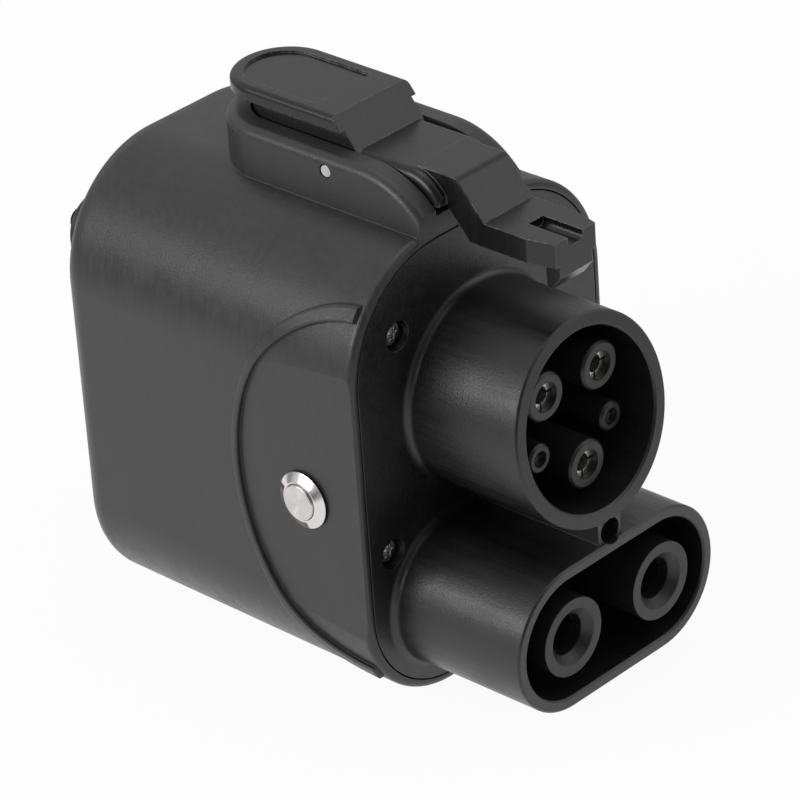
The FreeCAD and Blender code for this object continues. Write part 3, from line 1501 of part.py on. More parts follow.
def make_board():
    """Control board with its processor, finned power module and battery pack."""
    front = -size.board_front
    back = front + size.board_length
    top = size.board_height + size.board_thick
    plain = brick("board_blank", (-size.board_half, front, size.board_height),
                  (size.board_half, back, top))
    holes = [rod(f"board_hole_{number}", (across, y, size.board_height),
                 small_screw + size.tail_play, size.board_thick, "Z")
             for number, (across, y) in enumerate(board_screws, start=1)]
    finish("control_board", cut("board_body", plain, holes))
    for number, (across, y) in enumerate(board_screws, start=1):
        head = rod(f"board_screw_head_{number}", (across, y, top), small_screw * 2,
                   small_screw * 1.2, "Z")
        shank = rod(f"board_screw_shank_{number}", (across, y, size.board_height
                    - size.ledge_thick + 0.5), small_screw,
                    size.board_thick + size.ledge_thick - 0.5, "Z")
        finish(f"board_screw_{number}", fuse(f"board_screw_body_{number}", [head, shank]))
    chip_y = front + size.heat_sink_length + 12
    chip = brick("processor_block", (-size.chip_half, chip_y, size.board_height - size.chip_thick),
                 (size.chip_half, chip_y + size.chip_half * 2, size.board_height))
    finish("processor", chip)
    low = size.board_height - size.heat_sink_height
    sink_front = front + 3
    sink_back = sink_front + size.heat_sink_length
    half = size.heat_sink_half
    foot = size.board_height - 2
    plates = [brick("heat_sink_foot", (-half, sink_front, foot), (half, sink_back,
                    size.board_height))]
    count = int(size.fin_count.number)
    step = (half * 2 - size.fin_thick) / (count - 1)
    for number in range(count):
        start = number * step - half
        plates.append(brick(f"heat_sink_fin_{number + 1}", (start, sink_front, low),
                            (start + size.fin_thick, sink_back, foot)))
    finish("power_module", fuse("power_module_body", plates))
    pack = new_body("battery_pack")
    sketch_front = top_sketch(pack, "pack_outline", top)
    start = front + size.battery_setback
    r = size.battery_round
    belt(sketch_front, [
        (r - size.battery_half, start + r, r),
        (size.battery_half - r, start + r, r),
        (size.battery_half - r, start + size.battery_length - r, r),
        (r - size.battery_half, start + size.battery_length - r, r),
    ])
    pad(pack, "pack", sketch_front, size.battery_thick)


def make_screws():
    """Screws of the plate, the web, the retainer, the inlet and the copper links."""
    seat = front_y + size.screw_sink + size.screw_head_height
    for number, (across, up) in enumerate(plate_screws, start=1):
        screw(f"plate_screw_{number}", across, seat, up, size.screw_length, 1)
    web_seat = dc_rim_y + size.web_bore_depth + size.screw_head_height
    screw("web_screw", as_size(0), web_seat, web_height,
          block_back_y + size.retainer_thick - web_seat, 1)
    back = block_back_y + size.retainer_thick
    for label, side in (("left", -1), ("right", 1)):
        screw(f"retainer_screw_{label}", side * size.retainer_half, back, size.retainer_height,
              size.retainer_thick + size.block_flange_thick, -1)
    for number, (across, up) in enumerate(inlet_screws, start=1):
        screw(f"inlet_screw_{number}", across, inlet_face_y, up, size.screw_length, -1)
    for label, side in (("positive", 1), ("negative", -1)):
        across = side * size.dc_contact_half
        flush_screw(f"outlet_link_screw_{label}", across, bar_back_y, size.dc_axis_height, -1)
        flush_screw(f"inlet_link_screw_{label}", across, bar_front_y, inlet_dc_height, 1)


def make_links():
    """Two copper bars and the earth strap, all in one plane behind the retainer."""
    eye = size.bar_screw_radius + size.bar_screw_play
    for label, side in (("positive", 1), ("negative", -1)):
        across = side * size.dc_contact_half
        body = make_bar(f"busbar_{label}", across, size.dc_axis_height, inlet_dc_height,
                        size.bar_half, eye, eye)
        sink_eyes(body, across, size.dc_axis_height, inlet_dc_height)
    make_bar("earth_strap", as_size(0), inlet_earth_height, earth_height, size.strap_half,
             size.inlet_earth_radius - 1, size.ac_tail_radius)


small_screw = as_size(1.0)
dc_top = size.dc_axis_height + size.dc_outer_radius
ac_bottom = size.ac_axis_height - size.ac_outer_radius
web_height = (dc_top + ac_bottom) / 2
board_screws = [
    (side * (size.board_half - size.board_screw_inset), back)
    for side in (-1, 1)
    for back in (-size.board_front + size.board_screw_setback,
                 -size.board_front + size.board_length - size.board_screw_setback)
]
line_height = size.ac_axis_height + size.line_rise
signal_height = size.ac_axis_height - size.signal_drop
ac_towers = [
    (-size.line_half, line_height, ac_face_y, size.power_tower_radius, size.power_sleeve_radius),
    (size.line_half, line_height, ac_face_y, size.power_tower_radius, size.power_sleeve_radius),
    (as_size(0), earth_height, ac_face_y - size.earth_lead, size.power_tower_radius,
     size.power_sleeve_radius),
    (-size.signal_half, signal_height, ac_face_y, size.signal_tower_radius,
     size.signal_sleeve_radius),
    (size.signal_half, signal_height, ac_face_y, size.signal_tower_radius,
     size.signal_sleeve_radius),
]
tail_end_y = block_back_y + size.ac_tail
contact_names = ["contact_line_1", "contact_line_2", "contact_earth", "contact_pilot",
                 "contact_proximity"]
ac_contacts = {}
contact_tails = []
for contact_name, (across, up, face, radius, sleeve) in zip(contact_names, ac_towers):
    is_signal = sleeve is size.signal_sleeve_radius
    tail = size.signal_tail_radius if is_signal else size.ac_tail_radius
    bore = size.signal_bore_radius if is_signal else size.power_bore_radius
    tail_end = bar_back_y if contact_name == "contact_earth" else tail_end_y
    ac_contacts[contact_name] = (across, up, face, sleeve, bore, tail, tail_end)
    contact_tails.append((across, up, tail))
inlet_pins = {
    "inlet_dc_pin_positive": (size.dc_contact_half, inlet_dc_height, size.inlet_dc_radius,
                              size.inlet_dc_radius - 1),
    "inlet_dc_pin_negative": (-size.dc_contact_half, inlet_dc_height, size.inlet_dc_radius,
                              size.inlet_dc_radius - 1),
    "inlet_earth_pin": (as_size(0), inlet_earth_height, size.inlet_earth_radius,
                        size.inlet_earth_radius - 1),
}
for number, side in enumerate((-1, 1), start=1):
    inlet_pins[f"inlet_aux_pin_{number}"] = (
        side * size.inlet_aux_half, size.inlet_height - size.inlet_aux_drop,
        size.inlet_aux_radius, size.inlet_aux_radius - 1)
signal_places = [
    (size.inlet_signal_inner_half, size.inlet_signal_inner_rise),
    (size.inlet_signal_outer_half, size.inlet_signal_outer_rise),
]
for number, (half, rise) in enumerate(signal_places):
    for side in (-1, 1):
        pin_number = number * 2 + (2 if side > 0 else 1)
        inlet_pins[f"inlet_signal_pin_{pin_number}"] = (
            side * half, size.inlet_height + rise,
            size.inlet_signal_radius, size.inlet_signal_radius - 0.5)

make_case()
make_front_plate()
make_seals()
make_ac_block()
make_dc_block()
make_contacts()
make_retainer()
make_inlet_shell()
make_inlet_pins()
make_inlet_carrier()
make_links()
make_screws()
make_board()
make_lever()
make_latch_parts()
make_button()

doc.recompute()
for item in doc.Objects:
    if "Invalid" in item.State or "Error" in item.State:
        raise ValueError(f"{item.Name} did not build: {item.State}")
os.makedirs("parts", exist_ok=True)
for name, item in nodes.items():
    shape = item.Shape
    if shape.isNull() or not shape.isValid() or len(shape.Solids) != 1:
        raise ValueError(f"{name} is not one sound solid")
    shape.exportStep(f"parts/{name}.step")
print(f"{len(nodes)} parts written")
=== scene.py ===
"""Studio scene of a charging adapter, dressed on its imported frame.

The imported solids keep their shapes. This file gives them their finishes, builds the pieces whose
surface needs more than the frame holds, and sets up the camera, the lamps and the floor. Lengths in
dataclass fields are millimetres, and everything that is put into the scene is in metres.
"""

import json
import logging
import math
from dataclasses import dataclass, field
from enum import Enum
from typing import Any

import bmesh
import bpy
from mathutils import Matrix, Vector

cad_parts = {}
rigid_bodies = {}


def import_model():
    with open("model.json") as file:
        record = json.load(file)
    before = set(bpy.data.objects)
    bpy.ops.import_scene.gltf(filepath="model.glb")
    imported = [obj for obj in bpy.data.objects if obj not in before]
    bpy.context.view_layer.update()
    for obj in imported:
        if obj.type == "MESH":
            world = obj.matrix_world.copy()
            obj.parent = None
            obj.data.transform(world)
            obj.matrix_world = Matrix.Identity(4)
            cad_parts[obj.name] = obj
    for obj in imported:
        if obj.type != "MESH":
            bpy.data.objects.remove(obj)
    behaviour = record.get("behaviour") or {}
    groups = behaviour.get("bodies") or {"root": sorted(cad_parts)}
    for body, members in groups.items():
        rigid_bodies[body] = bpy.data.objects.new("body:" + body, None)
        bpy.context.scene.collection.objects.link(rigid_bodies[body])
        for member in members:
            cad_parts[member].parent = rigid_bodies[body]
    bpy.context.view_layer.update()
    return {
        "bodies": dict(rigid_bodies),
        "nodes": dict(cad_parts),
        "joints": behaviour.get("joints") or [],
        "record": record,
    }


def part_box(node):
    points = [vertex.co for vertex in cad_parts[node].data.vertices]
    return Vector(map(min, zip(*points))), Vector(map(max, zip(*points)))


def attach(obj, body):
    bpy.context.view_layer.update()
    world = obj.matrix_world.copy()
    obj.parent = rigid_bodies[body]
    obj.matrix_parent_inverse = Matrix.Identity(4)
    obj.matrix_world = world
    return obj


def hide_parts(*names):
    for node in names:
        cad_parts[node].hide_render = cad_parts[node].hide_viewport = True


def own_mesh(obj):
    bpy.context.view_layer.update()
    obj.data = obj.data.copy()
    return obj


LOG = logging.getLogger("charging_adapter")
MM = 0.001
FULL_TURN = 2 * math.pi
# Blender's wave texture repeats after this length at a scale of 1.
WAVE_LENGTH = 0.314
# Facets of a rounded edge, from one face to the next.
ROUND_STEPS = 4
ROUND_STEP = math.pi / 2 / ROUND_STEPS


class Axis(Enum):
    """Direction of a turned piece, with the turn that carries +Z onto it."""

    X = Matrix.Rotation(math.pi / 2, 4, "Y")
    Y = Matrix.Rotation(-math.pi / 2, 4, "X")
    BACK_Y = Matrix.Rotation(math.pi / 2, 4, "X")
    Z = Matrix.Identity(4)


class Skin(Enum):
    """How a mould's wall was left: grain width and height in millimetres, and share of edge wear
    with its painted highlight.
    """

    SPARK_ERODED = (0.45, 0.11, 0.6)
    SATIN = (0.40, 0.04, 0.5)
    POLISHED = (0.90, 0.003, 1.0)


def linear_from_hex(code: str) -> tuple[float, float, float, float]:
    """Turn an sRGB hex colour into the linear colour that a shader socket takes.

    Args:
        code: Six hex digits with a leading hash.

    Returns:
        Linear red, green, blue and an alpha of one.
    """
    channels = [int(code[start:start + 2], 16) / 255 for start in (1, 3, 5)]
    linear = [c / 12.92 if c <= 0.04045 else ((c + 0.055) / 1.055) ** 2.4 for c in channels]
    return (linear[0], linear[1], linear[2], 1.0)


def add_node(tree: bpy.types.NodeTree, kind: str, links: dict[Any, Any] | None = None,
             sockets: dict[Any, Any] | None = None, **settings: Any) -> bpy.types.Node:
    """Add one node with its settings, socket values and incoming links.

    Args:
        tree: Node tree that receives the node.
        kind: Blender's type name of the node.
        links: Input names or places with the output sockets that feed them.
        sockets: Input names or places with constant values.
        settings: Attributes of the node itself.

    Returns:
        The new node.
    """
    node = tree.nodes.new(kind)
    for name, value in settings.items():
        setattr(node, name, value)
    for name, value in (sockets or {}).items():
        node.inputs[name].default_value = value
    for name, source in (links or {}).items():
        tree.links.new(source, node.inputs[name])
    return node


def new_material(name: str) -> tuple[bpy.types.Material, bpy.types.NodeTree]:
    """Make an empty node material.

    Args:
        name: Name of the finish.

    Returns:
        The material and its cleared node tree.
    """
    material = bpy.data.materials.new(name)
    material.use_nodes = True
    material.node_tree.nodes.clear()
    return material, material.node_tree


@dataclass(frozen=True)
class MouldedPlastic:
    """Filled polymer from a steel mould, with the grain of the mould's wall, and edges lightened
    partly by wear and partly by a painted highlight.
    """

    name: str
    colour: str
    cloud: str
    worn_and_highlight: str
    skin: Skin = Skin.SATIN
    roughness: float = 0.42
    roughness_spread: float = 0.06
    flow_mm: float = 9.0
    drag_mm: float = 1.1
    drawn_along: tuple[float, float, float] = (1.0, 1.0, 0.04)
    edge_radius_mm: float = 0.35
    ior: float = 1.5

    def build(self) -> bpy.types.Material:
        """Make the node material.

        Returns:
            The finished material.
        """
        grain_mm, grain_height_mm, wear_and_highlight = self.skin.value
        material, tree = new_material(self.name)
        place = add_node(tree, "ShaderNodeTexCoord").outputs["Object"]
        # The grain is drawn about three times as coarse as the real one, so that it shows.
        grain = add_node(tree, "ShaderNodeTexNoise", {"Vector": place},
                         {"Scale": 1 / (grain_mm * MM), "Detail": 3.0, "Roughness": 0.65})
        # Slow changes of gloss where the melt flowed and hands have rubbed.
        flow = add_node(tree, "ShaderNodeTexNoise", {"Vector": place},
                        {"Scale": 1 / (self.flow_mm * MM), "Detail": 5.0, "Roughness": 0.6})
        # Drag marks from the mould, a millimetre wide and drawn out the way the piece came off.
        drawn = add_node(tree, "ShaderNodeMapping", {"Vector": place},
                         {"Scale": self.drawn_along})
        drag = add_node(tree, "ShaderNodeTexNoise", {"Vector": drawn.outputs["Vector"]},
                        {"Scale": 1 / (self.drag_mm * MM), "Detail": 2.0})
        marks = add_node(tree, "ShaderNodeMath", {0: flow.outputs["Fac"], 1: drag.outputs["Fac"]},
                         operation="ADD")
        cloud = add_node(tree, "ShaderNodeMapRange", {"Value": marks.outputs["Value"]},
                         {"From Min": 0.75, "From Max": 1.3})
        body = add_node(tree, "ShaderNodeMix", {"Factor": cloud.outputs["Result"]},
                        {"A": linear_from_hex(self.colour), "B": linear_from_hex(self.cloud)},
                        data_type="RGBA")
        rounded = add_node(tree, "ShaderNodeBevel", sockets={"Radius": self.edge_radius_mm * MM},
                           samples=4)
        flat = add_node(tree, "ShaderNodeNewGeometry")
        turn = add_node(tree, "ShaderNodeVectorMath",
                        {0: rounded.outputs["Normal"], 1: flat.outputs["Normal"]},
                        operation="DOT_PRODUCT")
        # Edges, found where the rounded normal turns away from the flat one, get a lighter colour:
        # partly wear, partly a painted highlight along the rounding.
        edge = add_node(tree, "ShaderNodeMapRange", {"Value": turn.outputs["Value"]},
                        {"From Min": 0.995, "From Max": 0.90, "To Max": wear_and_highlight})
        rubbed_and_highlit = add_node(tree, "ShaderNodeMath",
                          {0: edge.outputs["Result"], 1: cloud.outputs["Result"]},
                          operation="MULTIPLY")
        paint = add_node(tree, "ShaderNodeMix",
                         {"Factor": rubbed_and_highlit.outputs["Value"], "A": body.outputs["Result"]},
                         {"B": linear_from_hex(self.worn_and_highlight)}, data_type="RGBA")
        polish = add_node(tree, "ShaderNodeMapRange", {"Value": marks.outputs["Value"]},
                          {"From Min": 0.75, "From Max": 1.25,
                           "To Min": self.roughness - self.roughness_spread,
                           "To Max": self.roughness + self.roughness_spread})
        bump = add_node(tree, "ShaderNodeBump",
                        {"Height": grain.outputs["Fac"], "Normal": rounded.outputs["Normal"]},
                        {"Strength": 0.5, "Distance": grain_height_mm * MM})
        shader = add_node(tree, "ShaderNodeBsdfPrincipled",
                          {"Base Color": paint.outputs["Result"],
                           "Roughness": polish.outputs["Result"],
                           "Normal": bump.outputs["Normal"]},
                          {"IOR": self.ior})
        add_node(tree, "ShaderNodeOutputMaterial", {"Surface": shader.outputs["BSDF"]})
        return material


@dataclass(frozen=True)
class PlatedMetal:
    """Metal with a thin plating or a rolled face: bright, with fine marks and a little tarnish."""

    name: str
    colour: str
    shade: str
    roughness: float = 0.28
    smoother: float = 0.08
    rougher: float = 0.1
    mark_mm: float = 0.25
    mark_height_mm: float = 0.004
    tarnish_mm: float = 3.0
    edge_radius_mm: float = 0.12

    def build(self) -> bpy.types.Material:
        """Make the node material.

        Returns:
            The finished material.
        """
        material, tree = new_material(self.name)
        place = add_node(tree, "ShaderNodeTexCoord").outputs["Object"]
        marks = add_node(tree, "ShaderNodeTexNoise", {"Vector": place},
                         {"Scale": 1 / (self.mark_mm * MM), "Detail": 2.0})
        tarnish = add_node(tree, "ShaderNodeTexNoise", {"Vector": place},
                           {"Scale": 1 / (self.tarnish_mm * MM), "Detail": 3.0})
        mix = add_node(tree, "ShaderNodeMix", {"Factor": tarnish.outputs["Fac"]},
                       {"A": linear_from_hex(self.colour), "B": linear_from_hex(self.shade)},
                       data_type="RGBA")
        polish = add_node(tree, "ShaderNodeMapRange", {"Value": marks.outputs["Fac"]},
                          {"To Min": self.roughness - self.smoother,
                           "To Max": self.roughness + self.rougher})
        rounded = add_node(tree, "ShaderNodeBevel", sockets={"Radius": self.edge_radius_mm * MM},
                           samples=4)
        bump = add_node(tree, "ShaderNodeBump",
                        {"Height": marks.outputs["Fac"], "Normal": rounded.outputs["Normal"]},
                        {"Strength": 0.2, "Distance": self.mark_height_mm * MM})
        shader = add_node(tree, "ShaderNodeBsdfPrincipled",
                          {"Base Color": mix.outputs["Result"],
                           "Roughness": polish.outputs["Result"],
                           "Normal": bump.outputs["Normal"]},
                          {"Metallic": 1.0})
        add_node(tree, "ShaderNodeOutputMaterial", {"Surface": shader.outputs["BSDF"]})
        return material


@dataclass(frozen=True)
class ContactGuardAndShade:
    """Plated socket contact, black at its mouth: a touch guard moulded over it, which also paints
    the shade deep in the bore.
    """

    name: str
    metal: PlatedMetal
    guard_and_shade: MouldedPlastic
    guard_and_shade_end_mm: float
    haze_mm: float = 0.4

    def build(self) -> bpy.types.Material:
        """Make the node material: black guard and painted shade in front of its end, metal behind.

        Returns:
            The finished material.
        """
        material = self.metal.build()
        material.name = self.name
        tree = material.node_tree
        output = next(node for node in tree.nodes if node.type == "OUTPUT_MATERIAL")
        plated = output.inputs["Surface"].links[0].from_socket
        place = add_node(tree, "ShaderNodeTexCoord").outputs["Object"]
        along = add_node(tree, "ShaderNodeSeparateXYZ", {"Vector": place}).outputs["Y"]
        # Black in front of this point along Y: the touch guard, and painted shade at the bore's
        # mouth.
        behind = add_node(tree, "ShaderNodeMath", {0: along}, {1: self.guard_and_shade_end_mm * MM},
                          operation="GREATER_THAN")
        haze = add_node(tree, "ShaderNodeTexNoise", {"Vector": place},
                        {"Scale": 1 / (self.haze_mm * MM)})
        matt = add_node(tree, "ShaderNodeMapRange", {"Value": haze.outputs["Fac"]},
                        {"To Min": self.guard_and_shade.roughness - self.guard_and_shade.roughness_spread,
                         "To Max": self.guard_and_shade.roughness + self.guard_and_shade.roughness_spread})
        guard_and_shade = add_node(tree, "ShaderNodeBsdfPrincipled",
                         {"Roughness": matt.outputs["Result"]},
                         {"Base Color": linear_from_hex(self.guard_and_shade.colour)})
        mix = add_node(tree, "ShaderNodeMixShader",
                       {"Fac": behind.outputs["Value"], 1: guard_and_shade.outputs["BSDF"], 2: plated})
        tree.links.new(mix.outputs["Shader"], output.inputs["Surface"])
        return material


@dataclass(frozen=True)
class TurnedMetal:
    """Metal faced on a lathe: concentric tool marks that draw light into two opposite fans."""

    name: str
    colour: str
    shade: str
    roughness: float = 0.3
    smoother: float = 0.05
    rougher: float = 0.08
    stretch: float = 0.85
    stretch_turn: float = 0.25
    mark_mm: float = 0.16
    mark_height_mm: float = 0.004
    haze_mm: float = 1.6

    def build(self) -> bpy.types.Material:
        """Make the node material, for a piece whose own Z is the lathe's axis.

        Returns:
            The finished material.
        """
        material, tree = new_material(self.name)
        place = add_node(tree, "ShaderNodeTexCoord").outputs["Object"]
        # The tool feeds 0.05 mm a turn; the marks are drawn wider, so that a few show.
        rings = add_node(tree, "ShaderNodeTexWave", {"Vector": place},
                         {"Scale": WAVE_LENGTH / (self.mark_mm * MM), "Distortion": 0.4,
                          "Detail": 2.0},
                         wave_type="RINGS", rings_direction="Z")
        haze = add_node(tree, "ShaderNodeTexNoise", {"Vector": place},
                        {"Scale": 1 / (self.haze_mm * MM), "Detail": 3.0})
        mix = add_node(tree, "ShaderNodeMix", {"Factor": haze.outputs["Fac"]},
                       {"A": linear_from_hex(self.colour), "B": linear_from_hex(self.shade)},
                       data_type="RGBA")
        polish = add_node(tree, "ShaderNodeMapRange", {"Value": rings.outputs["Fac"]},
                          {"To Min": self.roughness - self.smoother,
                           "To Max": self.roughness + self.rougher})
        along = add_node(tree, "ShaderNodeTangent", direction_type="RADIAL", axis="Z")
        bump = add_node(tree, "ShaderNodeBump", {"Height": rings.outputs["Fac"]},
                        {"Strength": 0.25, "Distance": self.mark_height_mm * MM})
        shader = add_node(tree, "ShaderNodeBsdfPrincipled",
                          {"Base Color": mix.outputs["Result"],
                           "Roughness": polish.outputs["Result"],
                           "Normal": bump.outputs["Normal"],
                           "Tangent": along.outputs["Tangent"]},
                          {"Metallic": 1.0, "Anisotropic": self.stretch,
                           "Anisotropic Rotation": self.stretch_turn})
        add_node(tree, "ShaderNodeOutputMaterial", {"Surface": shader.outputs["BSDF"]})
        return material


@dataclass(frozen=True)
class WhiteFloor:
    """White paper on a small table: it keeps the soft shadow, and a reflection sees its end."""

    name: str = "white_paper_floor"
    colour: str = "#f1f1f0"
    fibre_mm: float = 2.0
    paper_share: float = 0.06
    table_start_mm: float = 230.0
    table_end_mm: float = 480.0
    beyond_table: float = 0.35

    def build(self) -> bpy.types.Material:
        """Make the node material.

        Returns:
            The finished material.
        """
        material, tree = new_material(self.name)
        place = add_node(tree, "ShaderNodeTexCoord").outputs["Object"]
        fibres = add_node(tree, "ShaderNodeTexNoise", {"Vector": place},
                          {"Scale": 1 / (self.fibre_mm * MM)})
        matt = add_node(tree, "ShaderNodeMapRange", {"Value": fibres.outputs["Fac"]},
                        {"To Min": 0.4, "To Max": 0.8})
        paper = add_node(tree, "ShaderNodeBsdfDiffuse", {"Roughness": matt.outputs["Result"]},
                         {"Color": linear_from_hex(self.colour)})
        ray = add_node(tree, "ShaderNodeLightPath")
        away = add_node(tree, "ShaderNodeVectorMath", {0: place}, operation="LENGTH")
        table = add_node(tree, "ShaderNodeMapRange", {"Value": away.outputs["Value"]},
                         {"From Min": self.table_start_mm * MM, "From Max": self.table_end_mm * MM,
                          "To Min": 1.0, "To Max": self.beyond_table})
        level = add_node(tree, "ShaderNodeMath",
                         {0: table.outputs["Result"], 1: ray.outputs["Is Camera Ray"]},
                         operation="MAXIMUM")
        glow = add_node(tree, "ShaderNodeEmission", {"Strength": level.outputs["Value"]})
        first = add_node(tree, "ShaderNodeMath",
                         {0: ray.outputs["Is Camera Ray"], 1: ray.outputs["Is Glossy Ray"]},
                         operation="MAXIMUM")
        seen = add_node(tree, "ShaderNodeMath",
                        {0: first.outputs["Value"], 1: ray.outputs["Is Transmission Ray"]},
                        operation="MAXIMUM")
        share = add_node(tree, "ShaderNodeMapRange", {"Value": seen.outputs["Value"]},
                         {"To Min": 1.0, "To Max": self.paper_share})
        mix = add_node(tree, "ShaderNodeMixShader",
                       {"Fac": share.outputs["Result"], 1: glow.outputs["Emission"],
                        2: paper.outputs["BSDF"]})
        add_node(tree, "ShaderNodeOutputMaterial", {"Surface": mix.outputs["Shader"]})
        return material


# Glass-filled nylon off a spark-eroded mould: near black, dull, with a fine sparkle in highlights.
CASE_NYLON = MouldedPlastic("case_nylon_spark_eroded", "#2b2b2b", "#343333", "#5a5959",
                            Skin.SPARK_ERODED, roughness=0.36)
# Polycarbonate blend of the front plate and its barrels: deeper black with stronger reflections.
PLATE_BLEND = MouldedPlastic("plate_polycarbonate_blend", "#141414", "#1b1a1a", "#464545",
                             Skin.SPARK_ERODED, roughness=0.38, ior=1.585,
                             drawn_along=(1.0, 0.04, 1.0))
# Acetal from a polished mould: darker body and sharper reflections than its housing.
LEVER_ACETAL = MouldedPlastic("lever_acetal_polished", "#111112", "#161617", "#8c8c8e",
                              Skin.POLISHED, roughness=0.27, roughness_spread=0.03,
                              edge_radius_mm=0.4)
# Flame-retardant polyester of the socket blocks: black with a soft satin reflection.
SOCKET_POLYESTER = MouldedPlastic("socket_polyester_satin", "#17181a", "#1b1c1e", "#333436",
                                  roughness=0.42)
# The same polyester in the inlet at the back, a little greyer in its shine.
INLET_POLYESTER = MouldedPlastic("inlet_polyester_satin", "#1a1b1d", "#1f2022", "#38393b",
                                 roughness=0.42)
# Silicone pressed into its groove: deep black without a gloss.
SEAL_SILICONE = MouldedPlastic("seal_silicone_pressed", "#101011", "#151516", "#1f1f20",
                               roughness=0.7)
# Moulded epoxy of the electronic parts: an even grey-black with hardly a highlight.
DEVICE_EPOXY = MouldedPlastic("device_epoxy_moulded", "#1b1b1d", "#232325", "#333335",
                              roughness=0.5)
# Woven glass laminate under green solder mask: glossy over a faint weave.
BOARD_LAMINATE = MouldedPlastic("board_laminate_masked", "#0f4a2a", "#135733", "#c9b98a",
                                Skin.POLISHED, roughness=0.3, flow_mm=2.0)
# Shrunk vinyl film over the cells: blue with broad soft highlights.
BATTERY_WRAP = MouldedPlastic("battery_vinyl_shrunk", "#24406e", "#2a4a7e", "#6f86ad",
                              Skin.POLISHED, roughness=0.35)
# Silver-plated copper of the contacts: white and bright, a little yellow where it tarnishes.
SILVER_PLATE = PlatedMetal("silver_plated_copper", "#f4f1ea", "#e2dccf", roughness=0.3)
# The direct-current sockets are the same, behind a black ring that keeps fingers off the metal and
# also paints the shade at the bore's mouth.
SILVER_GUARD_AND_SHADE = ContactGuardAndShade("silver_behind_guard_and_painted_shade", SILVER_PLATE, SOCKET_POLYESTER,
                                guard_and_shade_end_mm=-64.0)
# Rolled copper bar: warm and soft.
COPPER_BAR = PlatedMetal("copper_rolled", "#c98258", "#b06d47", roughness=0.35)
# Steel screws under bright zinc: cool and slightly cloudy.
ZINC_STEEL = PlatedMetal("steel_bright_zinc", "#d6d7d8", "#b6b7b9", roughness=0.25)
# Steel screws of the inlet flange, black from their oxide bath, with a dim metal shine.
BLACK_STEEL = PlatedMetal("steel_black_oxide", "#2b2b2d", "#1f1f21", roughness=0.4)
# Drawn spring wire: grey, with marks along the wire.
SPRING_WIRE = PlatedMetal("spring_wire_drawn", "#a5a6a8", "#85868a", roughness=0.3)
# Stainless steel polished on the lathe, for the button's bezel: a mirror with hard sectors.
STAINLESS_POLISHED = PlatedMetal("stainless_polished", "#e6e1df", "#d8d2d0", roughness=0.12,
                                 mark_height_mm=0.001, edge_radius_mm=0.06)
# The same steel faced on the lathe, for the button's cap: two opposite fans of light.
STAINLESS_FACED = TurnedMetal("stainless_faced", "#dedad8", "#cfcac8")
# Pressed steel plate of the retainer: grey, with broad dull reflections.
PRESSED_STEEL = PlatedMetal("steel_pressed", "#9fa0a1", "#8a8b8c", roughness=0.45)
# Extruded aluminium of the heat sink, left as it came from the die.
EXTRUDED_ALUMINIUM = PlatedMetal("aluminium_extruded", "#b4b6b8", "#a2a4a6", roughness=0.4)

FINISH_OF_SLOT: dict[str, Any] = {
    "case_plastic": CASE_NYLON,
    "plate_plastic": PLATE_BLEND,
    "lever_plastic": LEVER_ACETAL,
    "socket_plastic": SOCKET_POLYESTER,
    "inlet_plastic": INLET_POLYESTER,
    "seal_rubber": SEAL_SILICONE,
    "contact_metal": SILVER_PLATE,
    "copper": COPPER_BAR,
    "screw_steel": ZINC_STEEL,
    "spring_steel": SPRING_WIRE,
    "button_metal": STAINLESS_POLISHED,
    "button_cap_metal": STAINLESS_FACED,
    "retainer_steel": PRESSED_STEEL,
    "board_laminate": BOARD_LAMINATE,
    "battery_wrap": BATTERY_WRAP,
    "heat_sink_metal": EXTRUDED_ALUMINIUM,
    "device_plastic": DEVICE_EPOXY,
}

FINISH_OF_NODE: dict[str, Any] = {
    "dc_contact_positive": SILVER_GUARD_AND_SHADE,
    "dc_contact_negative": SILVER_GUARD_AND_SHADE,
    "inlet_screw_1": BLACK_STEEL,
    "inlet_screw_2": BLACK_STEEL,
    "inlet_screw_3": BLACK_STEEL,
    "inlet_screw_4": BLACK_STEEL,
}


@dataclass
class FinishShelf:
    """Keeps one built material for each finish."""

    built: dict[str, bpy.types.Material] = field(default_factory=dict)

    def take(self, slot: str, node: str = "") -> bpy.types.Material:
        """Give the material of a node, or else of its slot, built on its first use.

        Args:
            slot: Material slot of the node.
            node: Name of the node, where it may have a finish of its own.

        Returns:
            The shared material.
        """
        finish = FINISH_OF_NODE.get(node, FINISH_OF_SLOT[slot])
        if finish.name not in self.built:
            self.built[finish.name] = finish.build()
        return self.built[finish.name]


def smooth(mesh: bpy.types.Mesh, crease_deg: float = 32.0) -> None:
    """Shade a mesh smooth except at its sharp edges."""
    mesh.shade_smooth()
    mesh.set_sharp_from_angle(angle=math.radians(crease_deg))


@dataclass
class FrameDresser:
    """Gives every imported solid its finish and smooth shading."""

    frame: dict[str, Any]
    shelf: FinishShelf

    def dress(self) -> None:
        """Put the finish of each node's slot on its object."""
        slots = {part["node"]: part["material_slot"]
                 for part in self.frame["record"]["subparts"]}
        for name, item in self.frame["nodes"].items():
            item.data.materials.clear()
            item.data.materials.append(self.shelf.take(slots[name], name))
            smooth(item.data)
            LOG.info("dressed %s for %s", name, slots[name])


@dataclass(frozen=True)
class Ring:
    """One ring of a turned piece: its place along the axis, its radius and its lobes."""

    along: float
    radius: float
    lobes: int = 0
    lobe_depth: float = 0.0

    def radius_at(self, angle: float) -> float:
        """Return the radius at an angle, in millimetres."""
        return self.radius - self.lobe_depth * (0.5 - 0.5 * math.cos(self.lobes * angle))


